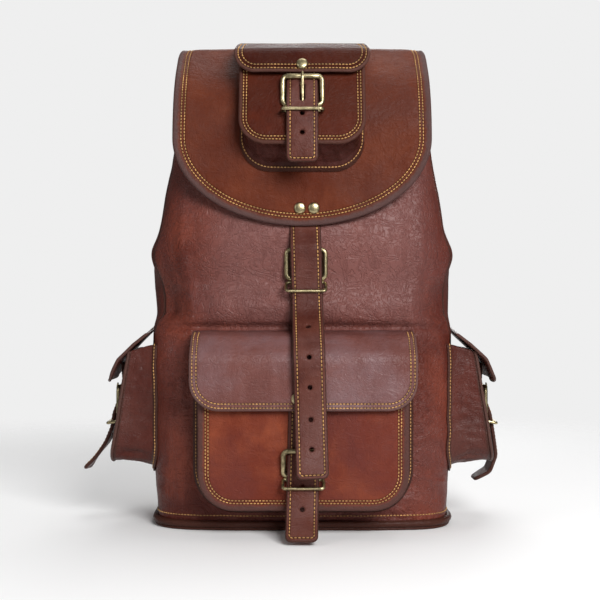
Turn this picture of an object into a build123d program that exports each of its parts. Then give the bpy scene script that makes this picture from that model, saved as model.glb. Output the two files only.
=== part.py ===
"""Leather rucksack with a rounded main flap, four buckled pockets, shoulder straps and a grab handle.

Millimetres. +Z is up, the front faces -Y, and the origin is the centre of the base, on the surface
that the bag stands on. Leather pieces are plain solids of the right size and place.
"""

import os
from math import cos, radians, sin

from build123d import *

os.makedirs("parts", exist_ok=True)

# ---- Driving dimensions -------------------------------------------------------------------------

LEATHER = 2.5          # bag, pocket and lid leather
FLAP_LEATHER = 3.0     # main flap with its lining
STRAP_WIDTH = 28.0
STRAP_THICK = 3.4      # two layers, sewn along both edges
AIR = 0.5              # least gap between pieces that move apart

# The bag's cross-sections: height, width, front, back, corner radius.
BAG_SECTIONS = [
    (3, 271, -76, 72, 48),
    (80, 278, -80, 74, 50),
    (180, 280, -78, 76, 52),
    (255, 270, -76, 72, 50),
    (330, 246, -72, 66, 46),
    (398, 226, -62, 60, 42),
]
BASE_THICK = 3.0
BASE_SIZE = (281, 158, 52)          # width, depth and corner radius of the base and its welt
WELT_HEIGHT = 5.0
STIFFENER_SIZE = (262, 138, 43)
STIFFENER_THICK = 2.0
PANEL_SEAM = 42.0                   # how far the side panels reach each way from the middle
EYELET_HEIGHT = 386.0
EYELET_PLACES = (-54, -20, 20, 54)
EYELET_RADIUS = 4.5                 # of the hole in the leather
EYELET_METAL = 0.8

# The main flap, side view: back seam, rear crest, front crest, brow, tip.
FLAP_ROUTE = [(66, 404), (62, 441), (-22, 447), (-83, 392), (-83, 273)]
FLAP_BENDS = [28, 60, 88]
FLAP_WIDTH = 232.0
FLAP_CURVE_TOP = 352.0              # where the rounded end of the flap begins
FLAP_RIVETS_Z = 289.0
FLAP_RIVETS_X = (-2.1, 10.5)

# Buckles: measured from the centre of the bar that the buckle hangs on.
BAR_RADIUS = 1.4
BAR_HEIGHT = 3.1                    # bar centre above the leather that it lies on
WINDOW_WIDTH = 30.6
FRAME_SIDE = 4.2
FRAME_THICK = 4.0
ROLLER_RADIUS = 2.3
TONGUE_WIDTH = 3.5
TONGUE_THICK = 2.4
TAB_WIDTH = 26.0
TAB_THICK = 1.6
KEEPER_WIRE = 1.2
KEEPER_HALF_WIDTH = 17.2

MAIN_REACH = 26.0                   # bar to roller, along the strap
FRONT_REACH = 22.0
POCKET_REACH = 26.0
FLAT_LIFT = 0.4                     # roller above the bar, outwards
THREADED_LIFT = 4.2
TAB_LENGTH = 24.0
MAIN_TAB_LENGTH = 34.0

RIVET_RADIUS = 5.2
RIVET_STEP = 1.0                    # height of each of the cap's two steps
STRAP_HOLE_RADIUS = 1.6

# Straps, edge on from the buckle's bar: how far out from the bar, and how far up the strap.
MAIN_STRAP_ROUTE = [(-2.0, 76), (-2.0, 45.5), (8.6, 28), (5.1, -4), (6.2, -28), (48.0, -64),
                    (46, -118), (51, -146), (60, -171)]
MAIN_STRAP_BENDS = [16, 9, 30, 30, 14, 40, 50]
MAIN_STRAP_LEAN = 1.6               # degrees
FRONT_STRAP_ROUTE = [(-0.1, 73), (-0.5, 24), (5.2, 0), (5.0, -12), (9.5, -32), (31, -51)]
FRONT_STRAP_BENDS = [12, 12, 20, 26]
FRONT_STRAP_LEAN = -1.5
FLAP_STRAP_ROUTE = [(-0.5, 42), (-0.5, 28), (5.2, 0), (5.0, -14), (2.4, -34), (-3, -54)]
FLAP_STRAP_BENDS = [12, 14, 30, 30]
SIDE_STRAP_ROUTE = [(5.0, 50), (-0.5, 28), (5.2, 0), (5.0, -13)]
SIDE_STRAP_BENDS = [12, 14, 30]
SIDE_STRAP_TAILS = {"left": [(8, -28), (24, -57)], "right": [(4.4, -40), (-4, -54), (-20, -60)]}
SIDE_TAIL_BENDS = {"left": [40], "right": [12, 8]}

# Pockets: a gusset is drawn this deep and cut off where it meets the bag or the flap.
GUSSET_DEPTH = 60.0

# Front pocket.
FRONT_POCKET = {"x": 1.0, "width": 184.0, "bottom": 23.5, "top": 148.0, "face": -112.5, "corner": 32.0}
FRONT_LID_WIDTH = 198.0
FRONT_LID_THICK = 3.0
FRONT_LID_ROUTE = [(-79.8, 178.5), (-101, 174), (-120, 158), (-120.5, 111)]
FRONT_LID_BENDS = [14, 14]
FRONT_LID_CORNER = 26.0

# Side pockets: their outer face leans out towards the bottom.
SIDE_POCKET = {"y": 2.0, "width": 105.0, "bottom": 55.0, "top": 161.0, "corner": 24.0}
SIDE_FACE_X = 170.0                 # at SIDE_FACE_Z
SIDE_FACE_Z = 104.0
SIDE_FACE_LEAN = 9.3
SIDE_LID_WIDTH = 112.0
SIDE_LID_ROUTE = [(141.8, 184), (160, 166.5), (176.5, 150), (181.5, 134)]
SIDE_LID_BENDS = [12, 10]
SIDE_LID_CORNER = 22.0

# Flap pocket: its face leans back with the flap.
FLAP_POCKET_FOOT = (-112.0, 343.0)
FLAP_POCKET_HEAD = (-85.0, 420.0)
FLAP_POCKET_WIDTH = 112.0
FLAP_POCKET_CORNER = 25.0
FLAP_LID_WIDTH = 121.0
FLAP_LID_ROUTE = [(-12, 449.8), (-44, 441.5), (-89, 429), (-97, 408)]
FLAP_LID_BENDS = [16, 12]
FLAP_LID_CORNER = 20.0

# Back: yoke patch, handle and shoulder straps.
YOKE = {"width": 138.0, "low": 322.0, "high": 375.0, "corner": 12.0}
YOKE_THICK = 3.0
HANDLE_AXIS = (77.0, 366.0)         # y, z of the line that the handle swings on
HANDLE_RADIUS = 4.5
HANDLE_HALF_WIDTH = 52.0
HANDLE_DROP = 30.0
SHOULDER_TOP = (45.0, 328.0)        # x, z of the ends of each shoulder strap
SHOULDER_FOOT = (84.0, 30.0)
SHOULDER_SEAT = 76.0                # y of the line between those ends
PAD_WIDTH = 46.0
PAD_THICK = 10.0
PAD_ROUTE = [(291, 82), (252, 98), (186, 105), (126, 99)]
PAD_BENDS = [80, 90]
LOWER_STRAP_WIDTH = 25.0
LOWER_STRAP_ROUTE = [(117, 98), (66, 91), (6, 80)]
LOWER_STRAP_BENDS = [80]
SLIDE_WIRE = 1.5
ANCHOR_SIZE = (30, 32, 5)
ANCHOR_THICK = 2.4

FRONT_VIEW = Plane.XZ               # x across, y up, facing the front
SIDE_VIEW = Plane.YZ                # x towards the back, y up


def save(piece, name):
    """Label a finished piece and write it."""
    piece.part.label = name
    export_step(piece.part, f"parts/{name}.step")


# ---- Shapes that several pieces share -----------------------------------------------------------


def section_value(height, column):
    """One column of BAG_SECTIONS, read between the two sections either side of a height."""
    for low, high in zip(BAG_SECTIONS, BAG_SECTIONS[1:]):
        if height <= high[0]:
            share = (height - low[0]) / (high[0] - low[0])
            return low[column] + share * (high[column] - low[column])
    return BAG_SECTIONS[-1][column]


def wall_plane(x, height, back):
    """A plane on the flat of the front or the back wall, facing out, with its y axis up the wall."""
    column = 3 if back else 2
    rise = 10.0
    y = section_value(height, column)
    lean = section_value(height + rise, column) - y
    outward = Vector(0, rise, -lean) if back else Vector(0, -rise, lean)
    return Plane(origin=(x, y, height), x_dir=(-1 if back else 1, 0, 0), z_dir=outward)


def bag_form(inset):
    """The bag as one solid block, drawn in by inset on its sides."""
    with BuildPart() as form:
        for height, width, front, back, corner in BAG_SECTIONS:
            with BuildSketch(Plane.XY.offset(height)):
                with Locations((0, (front + back) / 2)):
                    RectangleRounded(width - 2 * inset, back - front - 2 * inset, corner - inset)
        loft(ruled=True)
    return form.part


def flap_form():
    """The space under the main flap, out to the flap's upper face."""
    with BuildPart() as form:
        with BuildSketch(SIDE_VIEW):
            with BuildLine():
                route = FilletPolyline(*FLAP_ROUTE, radius=FLAP_BENDS)
                Line(route @ 1, route @ 0)
            make_face()
            offset(amount=FLAP_LEATHER / 2)
        extrude(amount=FLAP_WIDTH / 2, both=True)
    return form.part


def ribbon(view, route, bends, thickness, width):
    """A strip of leather: its edge drawn in view, thickened, then given its width both ways."""
    with BuildPart() as strip:
        with BuildSketch(view):
            with BuildLine():
                FilletPolyline(*route, radius=bends)
                offset(amount=thickness / 2, side=Side.BOTH)
            make_face()
        extrude(amount=width / 2, both=True)
    return strip.part


def tipped_block(view, width, low, high, corner):
    """A thick block with rounded corners, for cutting the end of a lid or a strap to shape."""
    reach = 400.0
    with BuildPart() as block:
        with BuildSketch(view):
            with Locations((0, (low + high) / 2)):
                RectangleRounded(width, high - low, corner)
        extrude(amount=reach, both=True)
    return block.part


def pocket_outline(width, low, high, corner):
    """Sketch of a pocket: square at its mouth, rounded at its two lower corners."""
    with BuildSketch(mode=Mode.PRIVATE) as outline:
        with Locations((0, (low + high) / 2)):
            Rectangle(width, high - low)
        fillet(outline.vertices().group_by(Axis.Y)[0], corner)
    return outline.sketch


def make_pocket(name, face, width, low, high, corner, behind):
    """A pocket's gusset band and its front sheet. face is the plane of the sheet's outer side."""
    band_face = face.offset(-LEATHER)
    with BuildPart() as gusset:
        with BuildSketch(band_face):
            add(pocket_outline(width, low, high, corner))
            add(pocket_outline(width - 2 * LEATHER, low + LEATHER, high + LEATHER, corner - LEATHER),
                mode=Mode.SUBTRACT)
        extrude(amount=-GUSSET_DEPTH)
        add(behind, mode=Mode.SUBTRACT)
    save(gusset, f"{name}_gusset")

    with BuildPart() as front:
        with BuildSketch(band_face):
            add(pocket_outline(width, low, high, corner))
        extrude(amount=LEATHER)
    save(front, f"{name}_front")


# ---- Buckles ------------------------------------------------------------------------------------
# A buckle's seat is a plane through the centre of its bar: x across, y up the strap, z outwards.


def edge_view(seat):
    """The plane that shows a buckle from its edge: x outwards, y up the strap."""
    return Plane(origin=seat.origin, x_dir=seat.z_dir, z_dir=-seat.x_dir)


def make_frame(name, seat, reach, lift):
    """The frame with its bar and top pin, and the roller that turns on the pin."""
    edge = edge_view(seat)
    side_middle = (WINDOW_WIDTH + FRAME_SIDE) / 2
    side_wide = FRAME_SIDE / 2
    with BuildPart() as frame:
        for side in (-1, 1):
            with BuildSketch(edge.offset(side * side_middle)):
                with BuildLine():
                    Line((0, 0), (lift, reach))
                    offset(amount=FRAME_THICK / 2, side=Side.BOTH)
                make_face()
            extrude(amount=side_wide, both=True)
        with BuildSketch(edge):
            Circle(BAR_RADIUS)
            with Locations((lift, reach)):
                Circle(BAR_RADIUS)
        extrude(amount=side_middle, both=True)
        with BuildSketch(edge):
            with Locations((lift, reach)):
                Circle(ROLLER_RADIUS)
                Circle(BAR_RADIUS + 0.05, mode=Mode.SUBTRACT)
        extrude(amount=WINDOW_WIDTH / 2 - 0.2, both=True)
    save(frame, f"{name}_frame")


def make_tongue(name, seat, reach, lift):
    """The tongue: an eye round the bar, and a prong that rests on the roller."""
    rest = lift + ROLLER_RADIUS + 0.2 + TONGUE_THICK / 2
    eye = BAR_RADIUS + 0.05
    with BuildPart() as tongue:
        with BuildSketch(edge_view(seat)):
            Circle(eye + TONGUE_THICK * 0.6)
            with BuildLine():
                Polyline((1.2, 2.0), (rest, reach - 1.5), (rest, reach + 3.5))
                offset(amount=TONGUE_THICK / 2, side=Side.BOTH)
            make_face()
            Circle(eye, mode=Mode.SUBTRACT)
        extrude(amount=TONGUE_WIDTH / 2, both=True)
    save(tongue, f"{name}_tongue")


def make_tab(name, seat, length):
    """The leather tab that loops round the bar, slotted for the tongue."""
    inner = BAR_RADIUS + 0.1
    outer = inner + TAB_THICK
    edge = edge_view(seat)
    with BuildPart() as tab:
        with BuildSketch(edge):
            Circle(outer)
            with Locations((-(inner + outer) / 2, -length / 2)):
                Rectangle(TAB_THICK, length)
            Circle(inner, mode=Mode.SUBTRACT)
        extrude(amount=TAB_WIDTH / 2, both=True)
        with BuildSketch(edge):
            Rectangle(4 * outer, 2 * outer + 2 * AIR)
        extrude(amount=TONGUE_WIDTH / 2 + AIR, both=True, mode=Mode.SUBTRACT)
    save(tab, f"{name}_tab")


def wire_ring(centre, half_width, near, far, wire):
    """A rectangular ring of round wire lying across a strap, from near to far above centre."""
    half_deep = (far - near) / 2
    ring_plane = Plane(origin=centre.origin + centre.z_dir * (near + half_deep),
                       x_dir=centre.x_dir, z_dir=centre.y_dir)
    with BuildPart() as ring:
        with BuildSketch(ring_plane):
            RectangleRounded(2 * half_width + 2 * wire, 2 * half_deep + 2 * wire, 2.6 * wire)
            RectangleRounded(2 * half_width - 2 * wire, 2 * half_deep - 2 * wire, 0.6 * wire,
                             mode=Mode.SUBTRACT)
        extrude(amount=wire, both=True)
    return ring


def make_keeper(name, seat, below, far):
    """The wire keeper that holds the strap down, below the buckle's bar."""
    centre = Plane(origin=seat.origin - seat.y_dir * below, x_dir=seat.x_dir, z_dir=seat.z_dir)
    near = TAB_THICK - BAR_HEIGHT + KEEPER_WIRE + 0.1
    save(wire_ring(centre, KEEPER_HALF_WIDTH, near, far, KEEPER_WIRE), f"{name}_keeper")


def make_strap(name, seat, route, bends, holes, slot=None):
    """A buckle strap. route and holes are in the seat's edge view; slot is where the tongue passes."""
    edge = edge_view(seat)
    tail = min(point[1] for point in route) - STRAP_THICK
    head = max(point[1] for point in route) + STRAP_THICK
    reach = 200.0
    with BuildPart() as strap:
        add(ribbon(edge, route, bends, STRAP_THICK, STRAP_WIDTH))
        with BuildSketch(seat):
            with Locations((0, (tail + head + STRAP_WIDTH) / 2)):
                RectangleRounded(STRAP_WIDTH, head - tail + STRAP_WIDTH, STRAP_WIDTH / 2 - 1)
        extrude(amount=reach, both=True, mode=Mode.INTERSECT)
        with BuildSketch(seat):
            with Locations(*[(0, place) for place in holes]):
                Circle(STRAP_HOLE_RADIUS)
            if slot:
                with Locations((0, sum(slot) / 2)):
                    SlotOverall(slot[1] - slot[0], TONGUE_WIDTH + 2 * AIR, rotation=90)
        extrude(amount=reach, both=True, mode=Mode.SUBTRACT)
    save(strap, f"{name}_strap")


def rivet(plane, places=((0, 0),)):
    """Stepped rivet caps, at places on a plane."""
    with BuildPart() as caps:
        for x, y in places:
            spot = Plane(origin=plane.from_local_coords((x, y, 0)), x_dir=plane.x_dir,
                         z_dir=plane.z_dir)
            with BuildSketch(spot):
                Circle(RIVET_RADIUS)
            extrude(amount=RIVET_STEP)
            with BuildSketch(spot.offset(RIVET_STEP)):
                Circle(0.8 * RIVET_RADIUS)
            extrude(amount=RIVET_STEP)
    return caps


# ---- Bag ----------------------------------------------------------------------------------------

bag_outside = bag_form(0)
bag_inside = bag_form(LEATHER)
seam_box_height = 2 * BAG_SECTIONS[-1][0]
seam_box_width = 2 * BASE_SIZE[0]

eyelet_planes = [wall_plane(x, EYELET_HEIGHT, back) for back in (False, True) for x in EYELET_PLACES]

with BuildPart() as eyelet_holes:
    for plane in eyelet_planes:
        with BuildSketch(plane.offset(-2 * LEATHER)):
            Circle(EYELET_RADIUS)
        extrude(amount=4 * LEATHER)

for name, low, high in [("front_panel", -200, -PANEL_SEAM), ("back_panel", PANEL_SEAM, 200)]:
    with BuildPart() as panel:
        add(bag_outside)
        add(bag_inside, mode=Mode.SUBTRACT)
        with BuildSketch(Plane.XY):
            with Locations((0, (low + high) / 2)):
                Rectangle(seam_box_width, high - low)
        extrude(amount=seam_box_height, mode=Mode.INTERSECT)
        add(eyelet_holes.part, mode=Mode.SUBTRACT)
    save(panel, name)

for name, side in [("left_side_panel", -1), ("right_side_panel", 1)]:
    with BuildPart() as panel:
        add(bag_outside)
        add(bag_inside, mode=Mode.SUBTRACT)
        with BuildSketch(Plane.XY):
            with Locations((side * seam_box_width / 4, 0)):
                Rectangle(seam_box_width / 2, 2 * PANEL_SEAM)
        extrude(amount=seam_box_height, mode=Mode.INTERSECT)
    save(panel, name)

with BuildPart() as base_panel:
    with BuildSketch(Plane.XY):
        RectangleRounded(*BASE_SIZE)
    extrude(amount=BASE_THICK)
save(base_panel, "base_panel")

with BuildPart() as base_welt:
    with BuildSketch(Plane.XY.offset(BASE_THICK)):
        RectangleRounded(*BASE_SIZE)
    extrude(amount=WELT_HEIGHT)
    add(bag_outside, mode=Mode.SUBTRACT)
save(base_welt, "base_welt")

with BuildPart() as base_stiffener:
    with BuildSketch(Plane.XY.offset(BASE_THICK)):
        with Locations((0, -2)):
            RectangleRounded(*STIFFENER_SIZE)
    extrude(amount=STIFFENER_THICK)
save(base_stiffener, "base_stiffener")

with BuildPart() as mouth_eyelets:
    for plane in eyelet_planes:
        for height in (0.0, -LEATHER - EYELET_METAL):
            with BuildSketch(plane.offset(height)):
                Circle(EYELET_RADIUS + 2.5)
                Circle(EYELET_RADIUS - 1.0, mode=Mode.SUBTRACT)
            extrude(amount=EYELET_METAL)
        with BuildSketch(plane.offset(-LEATHER)):
            Circle(EYELET_RADIUS)
            Circle(EYELET_RADIUS - 1.0, mode=Mode.SUBTRACT)
        extrude(amount=LEATHER)
save(mouth_eyelets, "mouth_eyelets")

# ---- Front pocket -------------------------------------------------------------------------------

pocket = FRONT_POCKET
front_face = Plane(origin=(pocket["x"], pocket["face"], 0), x_dir=(1, 0, 0), z_dir=(0, -1, 0))
make_pocket("front_pocket", front_face, pocket["width"], pocket["bottom"], pocket["top"],
            pocket["corner"], bag_outside)

lid_view = SIDE_VIEW.offset(pocket["x"])
with BuildPart() as front_pocket_lid:
    add(ribbon(lid_view, FRONT_LID_ROUTE, FRONT_LID_BENDS, FRONT_LID_THICK, FRONT_LID_WIDTH))
    add(tipped_block(front_face, FRONT_LID_WIDTH, FRONT_LID_ROUTE[-1][1], 260, FRONT_LID_CORNER),
        mode=Mode.INTERSECT)
save(front_pocket_lid, "front_pocket_lid")

front_lid_face = Plane(origin=(-4.5, FRONT_LID_ROUTE[-1][0] - FRONT_LID_THICK / 2, 122),
                       x_dir=(1, 0, 0), z_dir=(0, -1, 0))
save(rivet(front_lid_face), "front_lid_rivet")

front_seat = Plane(origin=(0.9, pocket["face"] - BAR_HEIGHT, 54.5), x_dir=(1, 0, 0),
                   z_dir=(0, -1, 0))
make_frame("front_buckle", front_seat, FRONT_REACH, THREADED_LIFT)
make_tongue("front_buckle", front_seat, FRONT_REACH, THREADED_LIFT)
make_tab("front_buckle", front_seat, TAB_LENGTH)
make_keeper("front_buckle", front_seat, 9.5, 9.2)
lean = radians(FRONT_STRAP_LEAN)
front_strap_seat = Plane(origin=(0.7, front_seat.origin.Y, front_seat.origin.Z),
                         x_dir=(cos(lean), 0, sin(lean)), z_dir=(0, -1, 0))
make_strap("front", front_strap_seat, FRONT_STRAP_ROUTE, FRONT_STRAP_BENDS, holes=[-8.5, -27.5],
           slot=(1.5, 17.5))

# ---- Main flap and its strap --------------------------------------------------------------------

with BuildPart() as main_flap:
    add(ribbon(SIDE_VIEW, FLAP_ROUTE, FLAP_BENDS, FLAP_LEATHER, FLAP_WIDTH))
    with BuildSketch(FRONT_VIEW):
        with Locations((0, FLAP_CURVE_TOP)):
            Ellipse(FLAP_WIDTH / 2, FLAP_CURVE_TOP - FLAP_ROUTE[-1][1])
        with Locations((0, FLAP_CURVE_TOP + 75)):
            Rectangle(FLAP_WIDTH, 150)
    extrude(amount=200, both=True, mode=Mode.INTERSECT)
save(main_flap, "main_flap")

flap_face = Plane(origin=(0, FLAP_ROUTE[-1][0] - FLAP_LEATHER / 2, FLAP_RIVETS_Z), x_dir=(1, 0, 0),
                  z_dir=(0, -1, 0))
save(rivet(flap_face, [(x, 0) for x in FLAP_RIVETS_X]), "main_flap_rivets")

main_seat = Plane(origin=(3.4, section_value(192, 2) - BAR_HEIGHT, 226), x_dir=(1, 0, 0),
                  z_dir=(0, -1, 0))
make_frame("main_buckle", main_seat, MAIN_REACH, FLAT_LIFT)
make_tongue("main_buckle", main_seat, MAIN_REACH, FLAT_LIFT)
make_tab("main_buckle", main_seat, MAIN_TAB_LENGTH)
make_keeper("main_buckle", main_seat, 11.0, 8.9)
lean = radians(MAIN_STRAP_LEAN)
main_strap_seat = Plane(origin=(4.0, main_seat.origin.Y, main_seat.origin.Z),
                        x_dir=(cos(lean), 0, sin(lean)), z_dir=(0, -1, 0))
make_strap("main", main_strap_seat, MAIN_STRAP_ROUTE, MAIN_STRAP_BENDS,
           holes=[-43, -70, -97, -125, -151])

# ---- Flap pocket --------------------------------------------------------------------------------

foot_y, foot_z = FLAP_POCKET_FOOT
head_y, head_z = FLAP_POCKET_HEAD
pocket_length = ((head_y - foot_y) ** 2 + (head_z - foot_z) ** 2) ** 0.5
flap_pocket_face = Plane(origin=(0, foot_y, foot_z), x_dir=(1, 0, 0),
                         z_dir=(0, -(head_z - foot_z), head_y - foot_y))
make_pocket("flap_pocket", flap_pocket_face, FLAP_POCKET_WIDTH, 0, pocket_length - 2,
            FLAP_POCKET_CORNER, flap_form())

with BuildPart() as flap_pocket_lid:
    add(ribbon(SIDE_VIEW, FLAP_LID_ROUTE, FLAP_LID_BENDS, LEATHER, FLAP_LID_WIDTH))
    add(tipped_block(FRONT_VIEW, FLAP_LID_WIDTH, FLAP_LID_ROUTE[-1][1], 560, FLAP_LID_CORNER),
        mode=Mode.INTERSECT)
save(flap_pocket_lid, "flap_pocket_lid")

brow, tip = FLAP_LID_ROUTE[-2:]
flap_lid_face = Plane(origin=((0, (brow[0] + 2 * tip[0]) / 3, (brow[1] + 2 * tip[1]) / 3)),
                      x_dir=(1, 0, 0), z_dir=(0, tip[1] - brow[1], brow[0] - tip[0]))
save(rivet(flap_lid_face.offset(LEATHER / 2)), "flap_lid_rivet")

flap_pocket_seat = Plane(origin=flap_pocket_face.from_local_coords((0.3, 36, BAR_HEIGHT)),
                         x_dir=(1, 0, 0), z_dir=flap_pocket_face.z_dir)
make_frame("flap_buckle", flap_pocket_seat, POCKET_REACH, THREADED_LIFT)
make_tongue("flap_buckle", flap_pocket_seat, POCKET_REACH, THREADED_LIFT)
make_tab("flap_buckle", flap_pocket_seat, TAB_LENGTH)
make_keeper("flap_buckle", flap_pocket_seat, 8.5, 9.2)
flap_strap_seat = Plane(origin=flap_pocket_seat.origin - Vector(0.3, 0, 0), x_dir=(1, 0, 0),
                        z_dir=flap_pocket_seat.z_dir)
make_strap("flap_pocket", flap_strap_seat, FLAP_STRAP_ROUTE, FLAP_STRAP_BENDS,
           holes=[-11, -28.5], slot=(-2.0, 21.5))

# ---- Side pockets -------------------------------------------------------------------------------

pocket = SIDE_POCKET
lean = radians(SIDE_FACE_LEAN)
for name, side in [("left", -1), ("right", 1)]:
    side_face = Plane(origin=(side * SIDE_FACE_X, pocket["y"], SIDE_FACE_Z), x_dir=(0, side, 0),
                      z_dir=(side * cos(lean), 0, sin(lean)))
    make_pocket(f"{name}_pocket", side_face, pocket["width"], pocket["bottom"] - SIDE_FACE_Z,
                pocket["top"] - SIDE_FACE_Z, pocket["corner"], bag_outside)

    lid_route = [(side * x, z) for x, z in SIDE_LID_ROUTE]
    lid_view = Plane(origin=(0, pocket["y"], 0), x_dir=(1, 0, 0), z_dir=(0, -1, 0))
    with BuildPart() as lid:
        add(ribbon(lid_view, lid_route, SIDE_LID_BENDS, LEATHER, SIDE_LID_WIDTH))
        add(tipped_block(Plane(origin=(0, pocket["y"], 0), x_dir=(0, 1, 0), z_dir=(1, 0, 0)),
                         SIDE_LID_WIDTH, SIDE_LID_ROUTE[-1][1], 300, SIDE_LID_CORNER),
            mode=Mode.INTERSECT)
    save(lid, f"{name}_pocket_lid")

    seat = Plane(origin=side_face.from_local_coords((0, -7, BAR_HEIGHT)), x_dir=side_face.x_dir,
                 z_dir=side_face.z_dir)
    buckle = f"{name}_buckle"
    make_frame(buckle, seat, POCKET_REACH, THREADED_LIFT)
    make_tongue(buckle, seat, POCKET_REACH, THREADED_LIFT)
    make_tab(buckle, seat, TAB_LENGTH)
    make_keeper(buckle, seat, 9.0, 9.2)
    make_strap(name, seat, SIDE_STRAP_ROUTE + SIDE_STRAP_TAILS[name],
               SIDE_STRAP_BENDS + SIDE_TAIL_BENDS[name], holes=[-22], slot=(0.5, 21.5))

# ---- Back: yoke, handle and shoulder straps -----------------------------------------------------

yoke_middle = (YOKE["low"] + YOKE["high"]) / 2
yoke_plane = wall_plane(0, yoke_middle, True)
handle_y, handle_z = HANDLE_AXIS
loop_height = handle_z - yoke_middle
with BuildPart() as shoulder_yoke:
    with BuildSketch(yoke_plane):
        RectangleRounded(YOKE["width"], YOKE["high"] - YOKE["low"], YOKE["corner"])
    extrude(amount=YOKE_THICK)
    for side in (-1, 1):
        with BuildSketch(SIDE_VIEW.offset(side * (HANDLE_HALF_WIDTH - 11))):
            with Locations((handle_y, handle_z)):
                Circle(HANDLE_RADIUS + 3)
            with Locations((handle_y - 6, handle_z)):
                Rectangle(12, 2 * HANDLE_RADIUS + 2)
            with Locations((handle_y, handle_z)):
                Circle(HANDLE_RADIUS + 0.4, mode=Mode.SUBTRACT)
        extrude(amount=4, both=True)
    add(bag_outside, mode=Mode.SUBTRACT)
save(shoulder_yoke, "shoulder_yoke")

handle_plane = Plane(origin=(0, handle_y, handle_z), x_dir=(1, 0, 0), z_dir=(0, -1, 0))
with BuildPart() as top_handle:
    half = HANDLE_HALF_WIDTH
    with BuildLine(handle_plane) as handle_line:
        FilletPolyline((half - 18, 0), (half, 0), (half - 3, -HANDLE_DROP), (3 - half, -HANDLE_DROP),
                       (-half, 0), (18 - half, 0), radius=[7, 10, 10, 7])
    with BuildSketch(Plane(origin=handle_line.line @ 0, z_dir=handle_line.line % 0)):
        Circle(HANDLE_RADIUS)
    sweep()
save(top_handle, "top_handle")

for name, side in [("left", -1), ("right", 1)]:
    top = Vector(side * SHOULDER_TOP[0], SHOULDER_SEAT, SHOULDER_TOP[1])
    foot = Vector(side * SHOULDER_FOOT[0], SHOULDER_SEAT, SHOULDER_FOOT[1])
    along = (top - foot).normalized()
    strap_view = Plane(origin=(foot.X, 0, foot.Z), x_dir=along, z_dir=along.cross(Vector(0, 1, 0)))
    with BuildPart() as pad:
        add(ribbon(strap_view, PAD_ROUTE, PAD_BENDS, PAD_THICK, PAD_WIDTH))
    save(pad, f"{name}_shoulder_pad")
    with BuildPart() as lower_strap:
        add(ribbon(strap_view, LOWER_STRAP_ROUTE, LOWER_STRAP_BENDS, STRAP_THICK, LOWER_STRAP_WIDTH))
    save(lower_strap, f"{name}_lower_strap")
    slide_along, slide_y = LOWER_STRAP_ROUTE[1]
    slide_seat = Plane(origin=foot + along * slide_along + Vector(0, slide_y - SHOULDER_SEAT, 0),
                       x_dir=along.cross(Vector(0, 1, 0)), z_dir=(0, 1, 0))
    slide_half = STRAP_THICK / 2 + SLIDE_WIRE + 0.7
    save(wire_ring(slide_seat, LOWER_STRAP_WIDTH / 2 + 2, -slide_half, slide_half, SLIDE_WIRE),
         f"{name}_slide")

with BuildPart() as strap_anchors:
    for side in (-1, 1):
        with BuildSketch(wall_plane(side * SHOULDER_FOOT[0], 28, True)):
            RectangleRounded(*ANCHOR_SIZE)
        extrude(amount=ANCHOR_THICK)
    add(bag_outside, mode=Mode.SUBTRACT)
save(strap_anchors, "strap_anchors")
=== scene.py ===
"""The looks of a leather rucksack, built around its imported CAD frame. Metres, in the frame's axes."""

import math

import bpy
import numpy as np
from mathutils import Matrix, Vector, noise
from mathutils.geometry import delaunay_2d_cdt


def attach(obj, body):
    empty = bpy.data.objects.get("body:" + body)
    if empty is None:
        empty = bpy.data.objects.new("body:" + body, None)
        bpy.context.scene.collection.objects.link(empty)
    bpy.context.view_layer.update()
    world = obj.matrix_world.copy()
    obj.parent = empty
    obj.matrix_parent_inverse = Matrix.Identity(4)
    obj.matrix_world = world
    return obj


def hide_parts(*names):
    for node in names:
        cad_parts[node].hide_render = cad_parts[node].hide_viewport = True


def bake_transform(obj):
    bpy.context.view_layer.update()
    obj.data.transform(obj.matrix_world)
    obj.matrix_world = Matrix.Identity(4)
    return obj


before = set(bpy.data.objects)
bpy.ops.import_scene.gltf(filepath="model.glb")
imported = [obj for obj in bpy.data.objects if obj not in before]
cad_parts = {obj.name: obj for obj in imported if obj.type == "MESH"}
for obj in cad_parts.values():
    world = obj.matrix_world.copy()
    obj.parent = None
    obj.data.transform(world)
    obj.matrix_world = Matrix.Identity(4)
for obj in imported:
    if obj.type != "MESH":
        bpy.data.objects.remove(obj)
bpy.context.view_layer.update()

# ---- Bag body -----------------------------------------------------------------------------------
# Four panels of oiled buffalo leather, front, back and two side gussets, sewn edge to edge into a
# soft tube. It bulges above the front pocket, creases at the pocket's lid and slumps at the foot.

MM = 0.001
LEATHER = 2.5 * MM

# Height, half width, front, back and squareness of the body's cross-sections.
BODY_SECTIONS = np.array([
    (3.0, 134.5, -75.5, 71.5, 4.6),
    (30.0, 136.0, -77.5, 72.5, 4.6),
    (80.0, 138.5, -79.5, 74.0, 4.5),
    (150.0, 140.0, -79.0, 75.5, 4.4),
    (180.0, 139.5, -77.8, 75.8, 4.3),
    (215.0, 137.5, -77.0, 74.0, 4.2),
    (255.0, 136.0, -77.0, 72.0, 4.2),
    (290.0, 131.0, -75.0, 70.0, 4.1),
    (330.0, 123.5, -71.0, 66.0, 4.0),
    (365.0, 118.0, -67.5, 63.0, 4.0),
    (398.0, 113.0, -62.0, 60.0, 4.0),
])


def bump(value, centre, width):
    """A smooth hill of height 1 at centre."""
    return np.exp(-(((value - centre) / width) ** 2))


def wall_noise(points, scale, seed):
    """Smooth noise from -1 to 1 at each point."""
    shift = Vector((seed * 7.31, seed * 3.17, seed * 5.71))
    return np.array([noise.noise(Vector(p) * scale + shift) for p in points])


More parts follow.
